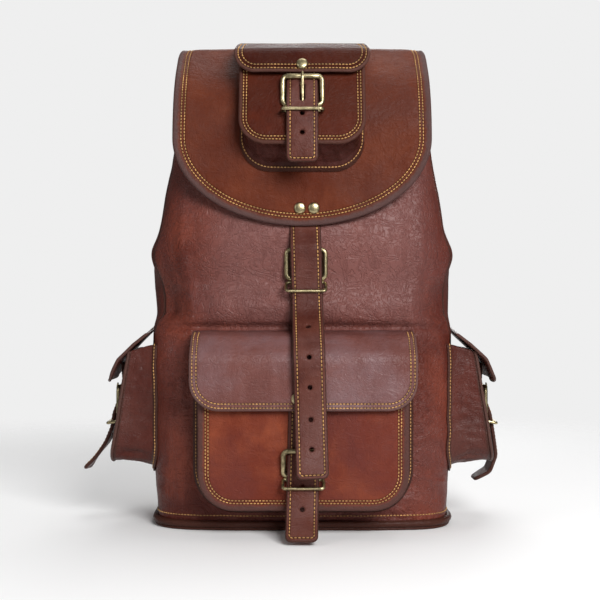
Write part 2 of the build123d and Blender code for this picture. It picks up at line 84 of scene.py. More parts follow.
def body_section(height):
    """The cross-section's values at a height in millimetres, smoothly joined."""
    return np.array([np.interp(height, BODY_SECTIONS[:, 0], BODY_SECTIONS[:, k]) for k in range(1, 5)])


def section_ring(height, count):
    """Points evenly spaced round the body at a height, from the middle of the back, in metres."""
    half, front, back, square = body_section(height)
    turn = np.linspace(0, 2 * np.pi, 2400, endpoint=False) + np.pi / 2
    middle, deep = (front + back) / 2, (back - front) / 2
    x = half * np.sign(np.cos(turn)) * np.abs(np.cos(turn)) ** (2 / square)
    y = middle + deep * np.sign(np.sin(turn)) * np.abs(np.sin(turn)) ** (2 / square)
    x, y = np.append(x, x[0]), np.append(y, y[0])
    way = np.append(0, np.cumsum(np.hypot(np.diff(x), np.diff(y))))
    steps = np.linspace(0, way[-1], count, endpoint=False)
    return np.stack([np.interp(steps, way, x), np.interp(steps, way, y)], 1) * MM


def body_relief(points):
    """How far the leather stands out from the plain body at each point, in metres."""
    x, y, z = points[:, 0] / MM, points[:, 1] / MM, points[:, 2] / MM
    front = 1 / (1 + np.exp((y + 52) / 5))
    rear = 1 / (1 + np.exp((40 - y) / 5))
    side = 1 - np.clip(front + rear, 0, 1)
    across = np.abs(x)
    relief = np.zeros(len(points))
    # the roll above the lid of the front pocket, and the crease under it
    roll = 3.6 * bump(z, 262, 26) - 2.2 * bump(z, 224, 13) + 2.6 * bump(z, 200, 12)
    crease = -4.2 * bump(z, 182.5, 3.4)
    relief += front * roll * np.clip(1.1 - (across / 125) ** 4, 0, 1)
    relief += front * crease
    # long soft ridges where the front turns into the sides
    ridge_x = 108 - 10 * bump(z, 197, 26)
    ridge = bump(across, ridge_x, 5.5) - 0.8 * bump(across, ridge_x - 11, 6)
    relief += front * ridge * (0.8 + 0.6 * bump(z, 235, 55)) * np.clip((z - 12) / 25, 0, 1)
    # pinched waist at the front corners and slumping folds in the side gussets
    corner = bump(np.hypot(across - 130, y + 62), 0, 26)
    pinch = np.where(z > 196, bump(z, 196, 34), bump(z, 196, 8))
    relief -= np.where(x < 0, 15.0, 9.0) * corner * pinch
    fold = np.sin((z - 0.7 * y) / 8.5) * bump(z, 232, 34)
    relief += side * (2.6 * fold * bump(y, -8, 34) + 5.5 * bump(z, 246, 18))
    pleat = np.sin(y / 6.5 + 0.03 * z) * bump(z, 120, 70)
    relief += side * 0.7 * pleat
    # broad unevenness, and creases at the foot
    relief += 1.0 * wall_noise(points, 16, 1) + 0.5 * wall_noise(points * np.array([0.7, 0.7, 1.5]), 45, 2)
    crumple = 1 - 2 * np.abs(wall_noise(points * np.array([0.55, 0.55, 1.6]), 52, 3))
    foot = bump(z, 24, 24) * (0.45 + 0.75 * bump(x, 98, 42)) * front
    relief += 2.4 * crumple * foot
    lateral = 1 - 2 * np.abs(wall_noise(points * np.array([0.5, 0.5, 2.2]), 30, 4))
    relief += 1.1 * lateral * front * bump(z, 208, 24)
    return relief * MM


def outward(grid, closed):
    """Unit normals of a grid of points, rows up and columns round, pointing away from its inside."""
    along = np.gradient(grid, axis=0)
    if closed:
        around = (np.roll(grid, -1, 1) - np.roll(grid, 1, 1)) / 2
    else:
        around = np.gradient(grid, axis=1)
    normal = np.cross(around, along)
    return normal / np.maximum(np.linalg.norm(normal, axis=2, keepdims=True), 1e-9)


def new_piece(name, points, faces, material, edge=None):
    """A mesh object from points and faces, with how far each point lies from a cut edge."""
    mesh = bpy.data.meshes.new(name)
    mesh.from_pydata([tuple(p) for p in points], [], [tuple(int(i) for i in f) for f in faces])
    if edge is not None:
        layer = mesh.attributes.new("edge", "FLOAT", "POINT")
        layer.data.foreach_set("value", np.asarray(edge, np.float32))
    mesh.materials.append(material)
    mesh.validate()
    mesh.shade_smooth()
    piece = bpy.data.objects.new(name, mesh)
    bpy.context.scene.collection.objects.link(piece)
    return piece


def grid_faces(rows, columns, start=0, wrap=False):
    """Quads of a grid whose points are stored row by row."""
    faces = []
    last = columns if wrap else columns - 1
    for r in range(rows - 1):
        for c in range(last):
            a = start + r * columns + c
            b = start + r * columns + (c + 1) % columns
            faces.append((a, b, b + columns, a + columns))
    return faces


def shell_piece(name, outer, inner, material, edge):
    """A closed sheet from two matching open grids, joined round their border."""
    rows, columns = outer.shape[:2]
    size = rows * columns
    points = np.concatenate([outer.reshape(-1, 3), inner.reshape(-1, 3)])
    faces = grid_faces(rows, columns)
    faces += [tuple(reversed(f)) for f in grid_faces(rows, columns, size)]
    border = list(range(columns))
    border += [r * columns + columns - 1 for r in range(1, rows)]
    border += [(rows - 1) * columns + c for c in range(columns - 2, -1, -1)]
    border += [r * columns for r in range(rows - 2, 0, -1)]
    for a, b in zip(border, border[1:] + border[:1]):
        faces.append((b, a, a + size, b + size))
    return new_piece(name, points, faces, material, np.tile(edge.reshape(-1), 2))


# Leather: shared node groups for grain, wrinkles, wear at cut edges, the shadow along rows of stitches
# and the mottled pull-up of the oil.

PEBBLE_SIZE = 900.0              # pebbles of grain to the metre
GRAIN_STRENGTH = 0.60
GRAIN_DEPTH = 0.4 * MM
WRINKLE_DEPTH = 0.9 * MM


def value_socket(tree, name, default, kind="NodeSocketFloat", way="INPUT"):
    """A named input or output of a node group."""
    socket = tree.interface.new_socket(name=name, in_out=way, socket_type=kind)
    if default is not None:
        socket.default_value = default
    return socket


def link(tree, source, target):
    """Join an output to an input."""
    tree.links.new(source, target)


def math_node(tree, operation, first, second=0.5, third=None):
    """A Math node; each operand is a socket or a number."""
    node = tree.nodes.new("ShaderNodeMath")
    node.operation = operation
    for index, operand in enumerate((first, second, third)):
        if operand is None:
            continue
        if isinstance(operand, (int, float)):
            node.inputs[index].default_value = operand
        else:
            link(tree, operand, node.inputs[index])
    return node.outputs[0]


def mix_colour(tree, share, first, second):
    """A colour Mix node; operands are sockets or colours."""
    node = tree.nodes.new("ShaderNodeMix")
    node.data_type = "RGBA"
    for index, operand in ((0, share), (6, first), (7, second)):
        if isinstance(operand, bpy.types.NodeSocket):
            link(tree, operand, node.inputs[index])
        else:
            node.inputs[index].default_value = operand
    return node.outputs[2]


def ramp(tree, source, low, high):
    """Spread the values between low and high over 0 to 1, smoothly."""
    node = tree.nodes.new("ShaderNodeMapRange")
    node.interpolation_type = "SMOOTHSTEP"
    link(tree, source, node.inputs[0])
    node.inputs[1].default_value = low
    node.inputs[2].default_value = high
    return node.outputs[0]


def noise_node(tree, place, scale, detail=4.0, rough=0.55, distortion=0.0):
    """A Noise texture's value."""
    node = tree.nodes.new("ShaderNodeTexNoise")
    link(tree, place, node.inputs["Vector"])
    node.inputs["Scale"].default_value = scale
    node.inputs["Detail"].default_value = detail
    node.inputs["Roughness"].default_value = rough
    node.inputs["Distortion"].default_value = distortion
    return node.outputs[0]


def stretched(tree, place, scale):
    """Object coordinates scaled differently along each axis."""
    node = tree.nodes.new("ShaderNodeMapping")
    node.inputs["Scale"].default_value = scale
    link(tree, place, node.inputs["Vector"])
    return node.outputs[0]


grain_group = bpy.data.node_groups.new("leather_grain", "ShaderNodeTree")
value_socket(grain_group, "Pebble size", PEBBLE_SIZE)
value_socket(grain_group, "Scratches", 0.4)
value_socket(grain_group, "Height", None, way="OUTPUT")
value_socket(grain_group, "Pores", None, way="OUTPUT")
grain_in = grain_group.nodes.new("NodeGroupInput")
grain_out = grain_group.nodes.new("NodeGroupOutput")
grain_place = grain_group.nodes.new("ShaderNodeTexCoord").outputs["Object"]
pebble = grain_group.nodes.new("ShaderNodeTexVoronoi")
pebble.feature = "SMOOTH_F1"
link(grain_group, grain_place, pebble.inputs["Vector"])
link(grain_group, grain_in.outputs["Pebble size"], pebble.inputs["Scale"])
fine = noise_node(grain_group, grain_place, 2400.0, 3.0)
hair = noise_node(grain_group, stretched(grain_group, grain_place, (1.0, 1.0, 0.16)), 520.0, 5.0, 0.7, 0.8)
hair_line = ramp(grain_group, hair, 0.58, 0.74)
cross = noise_node(grain_group, stretched(grain_group, grain_place, (0.22, 1.0, 1.0)), 260.0, 4.0, 0.6, 1.5)
cross_line = ramp(grain_group, cross, 0.60, 0.74)
lines = math_node(grain_group, "MAXIMUM", hair_line, math_node(grain_group, "MULTIPLY", cross_line, 0.7))
scratch = math_node(grain_group, "MULTIPLY", lines, grain_in.outputs["Scratches"])
height = math_node(grain_group, "MULTIPLY_ADD", fine, 0.35, pebble.outputs["Distance"])
height = math_node(grain_group, "SUBTRACT", height, scratch)
link(grain_group, height, grain_out.inputs["Height"])
link(grain_group, scratch, grain_out.inputs["Pores"])

edge_group = bpy.data.node_groups.new("cut_edge", "ShaderNodeTree")
value_socket(edge_group, "Width", 0.003)
value_socket(edge_group, "Edge", None, way="OUTPUT")
edge_in = edge_group.nodes.new("NodeGroupInput")
edge_out = edge_group.nodes.new("NodeGroupOutput")
edge_distance = edge_group.nodes.new("ShaderNodeAttribute")
edge_distance.attribute_name = "edge"
edge_wobble = noise_node(edge_group, edge_group.nodes.new("ShaderNodeTexCoord").outputs["Object"], 180.0)
edge_width = math_node(edge_group, "MULTIPLY", edge_wobble, edge_in.outputs["Width"])
edge_width = math_node(edge_group, "MULTIPLY_ADD", edge_in.outputs["Width"], 0.6, edge_width)
edge_share = math_node(edge_group, "DIVIDE", edge_distance.outputs["Fac"], edge_width)
edge_fade = math_node(edge_group, "SUBTRACT", 1.0, ramp(edge_group, edge_share, 0.55, 1.25))
link(edge_group, edge_fade, edge_out.inputs["Edge"])

wrinkle_group = bpy.data.node_groups.new("soft_wrinkles", "ShaderNodeTree")
value_socket(wrinkle_group, "Height", None, way="OUTPUT")
wrinkle_out = wrinkle_group.nodes.new("NodeGroupOutput")
wrinkle_place = wrinkle_group.nodes.new("ShaderNodeTexCoord").outputs["Object"]
wrinkle_heights = []
for stretch, size, warp in (((0.45, 1.0, 1.0), 62.0, 1.2), ((1.0, 1.0, 0.5), 88.0, 1.6)):
    swirl = noise_node(wrinkle_group, stretched(wrinkle_group, wrinkle_place, stretch), size, 4.0, 0.6, warp)
    valley = math_node(wrinkle_group, "ABSOLUTE", math_node(wrinkle_group, "SUBTRACT", swirl, 0.5))
    wrinkle_heights.append(ramp(wrinkle_group, valley, 0.0, 0.055))
link(wrinkle_group, math_node(wrinkle_group, "MULTIPLY", *wrinkle_heights), wrinkle_out.inputs["Height"])

seam_group = bpy.data.node_groups.new("seam_shadow", "ShaderNodeTree")
value_socket(seam_group, "First row", 0.0036)
value_socket(seam_group, "Second row", 0.0072)
value_socket(seam_group, "Shadow", None, way="OUTPUT")
seam_in = seam_group.nodes.new("NodeGroupInput")
seam_out = seam_group.nodes.new("NodeGroupOutput")
seam_distance = seam_group.nodes.new("ShaderNodeAttribute")
seam_distance.attribute_name = "edge"
seam_gaps = []
for row in ("First row", "Second row"):
    gap = math_node(seam_group, "SUBTRACT", seam_distance.outputs["Fac"], seam_in.outputs[row])
    seam_gaps.append(math_node(seam_group, "ABSOLUTE", gap))
seam_gap = math_node(seam_group, "MINIMUM", seam_gaps[0], seam_gaps[1])
seam_fade = math_node(seam_group, "SUBTRACT", 1.0, ramp(seam_group, seam_gap, 0.0005, 0.0013))
link(seam_group, seam_fade, seam_out.inputs["Shadow"])

mottle_group = bpy.data.node_groups.new("oil_mottle", "ShaderNodeTree")
value_socket(mottle_group, "Patch size", 14.0)
value_socket(mottle_group, "Tan", None, way="OUTPUT")
value_socket(mottle_group, "Dusk", None, way="OUTPUT")
mottle_in = mottle_group.nodes.new("NodeGroupInput")
mottle_out = mottle_group.nodes.new("NodeGroupOutput")
mottle_place = mottle_group.nodes.new("ShaderNodeTexCoord").outputs["Object"]
broad = mottle_group.nodes.new("ShaderNodeTexNoise")
link(mottle_group, mottle_place, broad.inputs["Vector"])
link(mottle_group, mottle_in.outputs["Patch size"], broad.inputs["Scale"])
broad.inputs["Detail"].default_value = 5.0
broad.inputs["Roughness"].default_value = 0.62
broad.inputs["Distortion"].default_value = 0.4
upright = stretched(mottle_group, mottle_place, (1.0, 1.0, 0.28))
brushed = noise_node(mottle_group, upright, 46.0, 6.0, 0.7, 0.6)
tan = math_node(mottle_group, "MULTIPLY_ADD", brushed, 0.45, broad.outputs[0])
link(mottle_group, ramp(mottle_group, tan, 0.58, 0.92), mottle_out.inputs["Tan"])
dusk = noise_node(mottle_group, mottle_place, 9.0, 6.0, 0.66, 0.5)
dusk = math_node(mottle_group, "MULTIPLY_ADD", brushed, 0.25, dusk)
link(mottle_group, ramp(mottle_group, dusk, 0.50, 0.82), mottle_out.inputs["Dusk"])


def leather(name, body, tan, dusk, patch=14.0, edge_colour=(0.055, 0.018, 0.012, 1), edge_width=0.002,
            roughness=0.46, scratches=0.6, seams=(), painted_sheen=None, specular=0.12, wrinkles=0.35):
    """Oiled leather: body colour, tan where the oil is pulled up, dusky where it is polished, and on request
    a painted sheen, a greyish highlight painted on the broad front. Lengths are in metres, but seams gives
    its rows of stitches in millimetres from the edge."""
    material = bpy.data.materials.new(name)
    material.use_nodes = True
    tree = material.node_tree
    shader = tree.nodes["Principled BSDF"]
    grains = tree.nodes.new("ShaderNodeGroup")
    grains.node_tree = grain_group
    grains.inputs["Pebble size"].default_value = PEBBLE_SIZE
    grains.inputs["Scratches"].default_value = scratches
    edges = tree.nodes.new("ShaderNodeGroup")
    edges.node_tree = edge_group
    edges.inputs["Width"].default_value = edge_width
    mottles = tree.nodes.new("ShaderNodeGroup")
    mottles.node_tree = mottle_group
    mottles.inputs["Patch size"].default_value = patch
    colour = mix_colour(tree, mottles.outputs["Tan"], (*body, 1), (*tan, 1))
    colour = mix_colour(tree, mottles.outputs["Dusk"], colour, (*dusk, 1))
    pore = math_node(tree, "MULTIPLY", grains.outputs["Pores"], 0.35)
    colour = mix_colour(tree, pore, colour, tuple(0.45 * c for c in body) + (1,))
    if painted_sheen:
        # painted sheen: the broad front is painted a greyish highlight that stands in for the light panel's
        # reflection and stops short of the corners
        spot = tree.nodes.new("ShaderNodeSeparateXYZ")
        link(tree, tree.nodes.new("ShaderNodeTexCoord").outputs["Object"], spot.inputs[0])
        reach = math_node(tree, "ABSOLUTE", math_node(tree, "SUBTRACT", spot.outputs["X"], 0.014))
        centre = math_node(tree, "SUBTRACT", 1.0, ramp(tree, reach, 0.070, 0.122))
        centre = math_node(tree, "MULTIPLY", centre, ramp(tree, spot.outputs["Z"], 0.150, 0.215))
        colour = mix_colour(tree, math_node(tree, "MULTIPLY", centre, 0.62), colour, (*painted_sheen, 1))
    colour = mix_colour(tree, edges.outputs["Edge"], colour, edge_colour)
    if seams:
        grooves = tree.nodes.new("ShaderNodeGroup")
        grooves.node_tree = seam_group
        grooves.inputs["First row"].default_value = seams[0] * MM
        grooves.inputs["Second row"].default_value = seams[-1] * MM
        shade = math_node(tree, "MULTIPLY", grooves.outputs["Shadow"], 0.7)
        colour = mix_colour(tree, shade, colour, tuple(0.3 * c for c in body) + (1,))
    link(tree, colour, shader.inputs["Base Color"])
    rough = math_node(tree, "MULTIPLY_ADD", mottles.outputs["Dusk"], -0.10, roughness)
    rough = math_node(tree, "MULTIPLY_ADD", grains.outputs["Pores"], 0.25, rough)
    link(tree, rough, shader.inputs["Roughness"])
    relief = tree.nodes.new("ShaderNodeBump")
    relief.inputs["Strength"].default_value = GRAIN_STRENGTH
    relief.inputs["Distance"].default_value = GRAIN_DEPTH
    link(tree, grains.outputs["Height"], relief.inputs["Height"])
    folds = tree.nodes.new("ShaderNodeGroup")
    folds.node_tree = wrinkle_group
    wrinkled = tree.nodes.new("ShaderNodeBump")
    wrinkled.inputs["Strength"].default_value = wrinkles
    wrinkled.inputs["Distance"].default_value = WRINKLE_DEPTH
    link(tree, folds.outputs["Height"], wrinkled.inputs["Height"])
    link(tree, relief.outputs["Normal"], wrinkled.inputs["Normal"])
    link(tree, wrinkled.outputs["Normal"], shader.inputs["Normal"])
    shader.inputs["Specular IOR Level"].default_value = specular
    return material


# the body's painted_sheen colour is a painted highlight: the purple-grey reflection of the light across the
# middle of the front
body_leather = leather("body_leather", (0.083, 0.013, 0.007), (0.175, 0.036, 0.019), (0.119, 0.031, 0.024),
                       painted_sheen=(0.195, 0.084, 0.076), scratches=0.8, specular=0.26, wrinkles=0.6)
gusset_leather = leather("gusset_leather", (0.057, 0.009, 0.005), (0.094, 0.018, 0.011),
                         (0.090, 0.030, 0.023),
                         scratches=0.8, specular=0.22)
back_leather = leather("back_leather", (0.105, 0.026, 0.016), (0.160, 0.045, 0.030), (0.120, 0.050, 0.042))

BODY_ROWS = np.concatenate([np.linspace(3, 60, 46), np.linspace(62, 398, 170)])
BODY_COLUMNS = 480
SEAM_Y = 42 * MM

plain = np.array([np.c_[section_ring(h, BODY_COLUMNS), np.full(BODY_COLUMNS, h * MM)] for h in BODY_ROWS])
plain_normal = outward(plain, True)
if (plain_normal[0, BODY_COLUMNS // 4] * plain[0, BODY_COLUMNS // 4]).sum() < 0:
    plain_normal = -plain_normal
relief = body_relief(plain.reshape(-1, 3)).reshape(plain.shape[:2])
body_skin = plain + plain_normal * relief[..., None]
body_skin[..., 2] = plain[..., 2]


def skin_y(x, z):
    """Depth of the front of the bag's outer skin at a place, in metres."""
    row = np.argmin(np.abs(BODY_ROWS * MM - z))
    ring = body_skin[row]
    facing = ring[ring[:, 1] < -0.02]
    order = np.argsort(facing[:, 0])
    return float(np.interp(x, facing[order, 0], facing[order, 1]))


def skin_x(y, z, side):
    """Reach to one side of the bag's outer skin at a place, in metres."""
    row = np.argmin(np.abs(BODY_ROWS * MM - z))
    ring = body_skin[row]
    facing = ring[ring[:, 0] * side > 0.06]
    order = np.argsort(facing[:, 1])
    return float(np.interp(y, facing[order, 1], facing[order, 0]))


def body_panel(name, wanted, nodes, material):
    """One panel of the body: the columns of the skin that wanted() picks, given thickness."""
    middle_row = plain[len(plain) // 2]
    picked = np.where(wanted(middle_row))[0]
    gap = np.where(np.diff(picked) > 1)[0]
    if len(gap):
        picked = np.concatenate([picked[gap[0] + 1:], picked[:gap[0] + 1]])
    outer = body_skin[:, picked]
    normal = plain_normal[:, picked]
    seam = np.minimum(np.arange(len(picked)), np.arange(len(picked))[::-1])
    dip = 0.9 * MM * np.exp(-((seam / 1.6) ** 2))
    outer = outer - normal * dip[None, :, None]
    inner = outer - normal * LEATHER
    edge = np.tile(seam * 1.7 * MM, (len(BODY_ROWS), 1))
    piece = shell_piece(name, outer, inner, material, edge)
    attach(piece, "bag")
    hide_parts(*nodes)
    return piece


body_panel("bag_front", lambda p: p[:, 1] < -SEAM_Y, ["front_panel"], body_leather)
body_panel("bag_back", lambda p: p[:, 1] > SEAM_Y, ["back_panel"], back_leather)
body_panel("bag_left_side", lambda p: (np.abs(p[:, 1]) < SEAM_Y + 0.001) & (p[:, 0] < 0),
           ["left_side_panel"], gusset_leather)
body_panel("bag_right_side", lambda p: (np.abs(p[:, 1]) < SEAM_Y + 0.001) & (p[:, 0] > 0),
           ["right_side_panel"], gusset_leather)

# ---- Base and welt ------------------------------------------------------------------------------
# A stiff sole of leather over board, with a round piped welt sewn between it and the walls. The
# welt follows the foot of the walls, a little proud of them, and one row of stitches runs above it.

dark_leather = leather("dark_leather", (0.420, 0.070, 0.024), (0.480, 0.110, 0.050), (0.320, 0.070, 0.036),
                       roughness=0.42, edge_width=0.0005)
WELT_RADIUS = 3.2 * MM
WELT_HEIGHT = 5.6 * MM
STITCH_PITCH = 3.0 * MM
THREAD = 0.58 * MM


def node_colour(node_names, material):
    """Give carried-over CAD nodes their finish."""
    for node_name in node_names:
        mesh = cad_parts[node_name].data
        mesh.materials.clear()
        mesh.materials.append(material)


def tube(centres, radii, sides, closed=False, flat=None, flatness=1.0):
    """Points and faces of a round or oval bar along a line; flat is the way its thin side faces."""
    count = len(centres)
    radii = np.broadcast_to(radii, (count,))
    if closed:
        ahead = np.roll(centres, -1, 0) - np.roll(centres, 1, 0)
    else:
        ahead = np.gradient(centres, axis=0)
    ahead = ahead / np.linalg.norm(ahead, axis=1, keepdims=True)
    thin = np.array(flat if flat is not None else (0.0, 0.0, 1.0), float)
    thin = np.broadcast_to(thin, (count, 3))
    wide = np.cross(thin, ahead)
    wide /= np.linalg.norm(wide, axis=1, keepdims=True)
    thin = np.cross(ahead, wide)
    turn = np.linspace(0, 2 * np.pi, sides, endpoint=False)
    ring = (wide[:, None] * np.cos(turn)[None, :, None]
            + thin[:, None] * np.sin(turn)[None, :, None] * flatness)
    points = (centres[:, None] + ring * radii[:, None, None]).reshape(-1, 3)
    faces = []
    for r in range(count if closed else count - 1):
        for c in range(sides):
            a, b = r * sides + c, r * sides + (c + 1) % sides
            e, d = ((r + 1) % count) * sides + (c + 1) % sides, ((r + 1) % count) * sides + c
            faces.append((a, b, e, d))
    if not closed:
        faces.append(tuple(reversed(range(sides))))
        faces.append(tuple(range((count - 1) * sides, count * sides)))
    return points, faces


def input_id(tree, name):
    """The identifier of a node tree's named input."""
    return next(s.identifier for s in tree.interface.items_tree if s.name == name and s.in_out == "INPUT")


# Saddle stitches: a line is divided at the stitch pitch and each part holds one short fat thread.
stitch_tree = bpy.data.node_groups.new("saddle_stitches", "GeometryNodeTree")
value_socket(stitch_tree, "Seam lines", None, "NodeSocketGeometry")
value_socket(stitch_tree, "Pitch", STITCH_PITCH)
value_socket(stitch_tree, "Thread radius", THREAD)
value_socket(stitch_tree, "Thread", None, "NodeSocketMaterial")
value_socket(stitch_tree, "Stitches", None, "NodeSocketGeometry", "OUTPUT")
stitch_in = stitch_tree.nodes.new("NodeGroupInput")
stitch_out = stitch_tree.nodes.new("NodeGroupOutput")
resample = stitch_tree.nodes.new("GeometryNodeResampleCurve")
resample.mode = "LENGTH"
link(stitch_tree, stitch_in.outputs["Seam lines"], resample.inputs["Curve"])
link(stitch_tree, stitch_in.outputs["Pitch"], resample.inputs["Length"])
tangent = stitch_tree.nodes.new("GeometryNodeInputTangent")
facing = stitch_tree.nodes.new("FunctionNodeAlignRotationToVector")
facing.axis = "Z"
link(stitch_tree, tangent.outputs["Tangent"], facing.inputs["Vector"])
bead = stitch_tree.nodes.new("GeometryNodeMeshUVSphere")
bead.inputs["Segments"].default_value = 6
bead.inputs["Rings"].default_value = 5
link(stitch_tree, stitch_in.outputs["Thread radius"], bead.inputs["Radius"])
half_pitch = math_node(stitch_tree, "MULTIPLY", stitch_in.outputs["Pitch"], 0.40)
stretch = math_node(stitch_tree, "DIVIDE", half_pitch, stitch_in.outputs["Thread radius"])
size = stitch_tree.nodes.new("ShaderNodeCombineXYZ")
size.inputs["X"].default_value = 1.0
size.inputs["Y"].default_value = 1.0
link(stitch_tree, stretch, size.inputs["Z"])
placed = stitch_tree.nodes.new("GeometryNodeInstanceOnPoints")
link(stitch_tree, resample.outputs["Curve"], placed.inputs["Points"])
link(stitch_tree, bead.outputs["Mesh"], placed.inputs["Instance"])
link(stitch_tree, facing.outputs["Rotation"], placed.inputs["Rotation"])
link(stitch_tree, size.outputs["Vector"], placed.inputs["Scale"])
realized = stitch_tree.nodes.new("GeometryNodeRealizeInstances")
link(stitch_tree, placed.outputs["Instances"], realized.inputs["Geometry"])
shaded = stitch_tree.nodes.new("GeometryNodeSetShadeSmooth")
link(stitch_tree, realized.outputs["Geometry"], shaded.inputs["Geometry"])
finished = stitch_tree.nodes.new("GeometryNodeSetMaterial")
link(stitch_tree, shaded.outputs["Geometry"], finished.inputs["Geometry"])
link(stitch_tree, stitch_in.outputs["Thread"], finished.inputs["Material"])
link(stitch_tree, finished.outputs["Geometry"], stitch_out.inputs["Stitches"])


def thread(name, colour):
    """Waxed linen thread, paler in some stretches and darker in others."""
    material = bpy.data.materials.new(name)
    material.use_nodes = True
    tree = material.node_tree
    shader = tree.nodes["Principled BSDF"]
    place = tree.nodes.new("ShaderNodeTexCoord").outputs["Object"]
    wear = ramp(tree, noise_node(tree, place, 60.0, 4.0, 0.6), 0.38, 0.66)
    link(tree, mix_colour(tree, wear, tuple(0.5 * c for c in colour) + (1,), (*colour, 1)),
         shader.inputs["Base Color"])
    twist = tree.nodes.new("ShaderNodeBump")
    twist.inputs["Strength"].default_value = 0.5
    twist.inputs["Distance"].default_value = 0.0002
    link(tree, noise_node(tree, place, 2600.0, 2.0), twist.inputs["Height"])
    link(tree, twist.outputs["Normal"], shader.inputs["Normal"])
    shader.inputs["Roughness"].default_value = 0.7
    return material


tan_thread = thread("tan_thread", (0.62, 0.33, 0.11))


def stitches(name, seams, material, pitch=STITCH_PITCH):
    """One plain mesh of stitches along seam lines, each an array of points in metres."""
    curve = bpy.data.curves.new(name, "CURVE")
    curve.dimensions = "3D"
    for seam in seams:
        spline = curve.splines.new("POLY")
        spline.points.add(len(seam) - 1)
        spline.points.foreach_set("co", np.c_[seam, np.ones(len(seam))].astype(np.float32).ravel())
    holder = bpy.data.objects.new(name + "_line", curve)
    bpy.context.scene.collection.objects.link(holder)
    nodes = holder.modifiers.new("stitches", "NODES")
    nodes.node_group = stitch_tree
    nodes[input_id(stitch_tree, "Pitch")] = pitch
    nodes[input_id(stitch_tree, "Thread radius")] = THREAD
    nodes[input_id(stitch_tree, "Thread")] = material
    holder.update_tag()
    graph = bpy.context.evaluated_depsgraph_get()
    mesh = bpy.data.meshes.new_from_object(holder.evaluated_get(graph), depsgraph=graph)
    mesh.name = name
    bpy.data.objects.remove(holder)
    piece = bpy.data.objects.new(name, mesh)
    bpy.context.scene.collection.objects.link(piece)
    return piece


foot_ring = body_skin[np.argmin(np.abs(BODY_ROWS - 8))]
foot_middle = np.array([0, (foot_ring[:, 1].min() + foot_ring[:, 1].max()) / 2, 0])
welt_line = foot_middle + (foot_ring - foot_middle) * np.array([1.012, 1.02, 0])
welt_line[:, 2] = WELT_HEIGHT
welt = new_piece("base_welt_piping", *tube(welt_line[::2], WELT_RADIUS, 12, closed=True), dark_leather)
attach(welt, "bag")
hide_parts("base_welt")

# the sole shows its cut edge below the welt
sole_ring = foot_middle + (foot_ring - foot_middle) * np.array([1.022, 1.035, 0])
SOLE_LEVELS = [(0.0, 0.985), (0.0006, 0.997), (0.0018, 1.0), (0.0032, 0.985)]
sole_points = np.concatenate([
    np.c_[(foot_middle + (sole_ring - foot_middle) * share)[:, :2], np.full(len(sole_ring), level)]
    for level, share in SOLE_LEVELS])
sole_faces = grid_faces(len(SOLE_LEVELS), BODY_COLUMNS, wrap=True)
sole_faces.append(tuple(reversed(range(BODY_COLUMNS))))
sole_faces.append(tuple(range((len(SOLE_LEVELS) - 1) * BODY_COLUMNS, len(SOLE_LEVELS) * BODY_COLUMNS)))
sole = new_piece("base_sole", sole_points, sole_faces, dark_leather)
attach(sole, "bag")
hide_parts("base_panel")

foot_seam = body_skin[np.argmin(np.abs(BODY_ROWS - 13))] + plain_normal[5] * 0.15 * MM
welt_seam = stitches("base_stitches", [np.vstack([foot_seam, foot_seam[:1]])], tan_thread)
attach(welt_seam, "bag")

board = bpy.data.materials.new("fibre_board")
board.use_nodes = True
board_tree = board.node_tree
board_place = board_tree.nodes.new("ShaderNodeTexCoord").outputs["Object"]
board_speck = ramp(board_tree, noise_node(board_tree, board_place, 700.0, 4.0, 0.7), 0.4, 0.62)
link(board_tree, mix_colour(board_tree, board_speck, (0.22, 0.14, 0.085, 1), (0.33, 0.23, 0.15, 1)),
     board_tree.nodes["Principled BSDF"].inputs["Base Color"])
board_tree.nodes["Principled BSDF"].inputs["Roughness"].default_value = 0.85
node_colour(["base_stiffener"], board)

# ---- Front pocket -------------------------------------------------------------------------------
# A flat sheet with a rolled rim on a folded gusset, and a lid sewn to the bag above it. Lid and
# front carry two rows of stitches that follow their edge; one rivet closes the lid's lining.

pocket_leather = leather("pocket_leather", (0.142, 0.027, 0.014), (0.255, 0.060, 0.027),
                         (0.122, 0.029, 0.022),
                         patch=17.0, edge_colour=(0.085, 0.038, 0.032, 1), edge_width=0.0052,
                         seams=(6.8, 9.2), specular=0.07)
lid_leather = leather("lid_leather", (0.120, 0.037, 0.030), (0.172, 0.060, 0.049), (0.172, 0.090, 0.092),
                      patch=11.0, edge_colour=(0.120, 0.056, 0.048, 1), edge_width=0.0018,
                      scratches=0.8, seams=(2.8, 6.4), specular=0.26)

SEAM_DEPTHS = (3.6, 7.2)         # how far in from an edge the two rows run


def way_along(line):
    """How far each point of a line lies from its start."""
    return np.append(0, np.cumsum(np.linalg.norm(np.diff(line, axis=0), axis=1)))


def rounded_route(points, radii, step=1.0):
    """A line through points with each corner rounded, as evenly spaced points."""
    points = [np.array(p, float) for p in points]
    line = [points[0]]
    for before, corner, after, radius in zip(points, points[1:], points[2:], radii):
        back = (before - corner) / np.linalg.norm(before - corner)
        on = (after - corner) / np.linalg.norm(after - corner)
        half = math.acos(float(np.clip(back @ on, -1, 1))) / 2
        if half > math.pi / 2 - 1e-3 or radius < 1e-6:
            line.append(corner)
            continue
        middle = corner + (back + on) / np.linalg.norm(back + on) * radius / math.sin(half)
        start = corner + back * radius / math.tan(half)
        for turn in np.linspace(0, math.pi - 2 * half, 14):
            line.append(middle + (start - middle) * math.cos(turn) - back * radius * math.sin(turn))
    line.append(points[-1])
    line = np.array(line)
    way = way_along(line)
    spots = np.linspace(0, way[-1], max(int(round(way[-1] / step)), 4) + 1)
    return np.stack([np.interp(spots, way, line[:, k]) for k in range(line.shape[1])], 1)


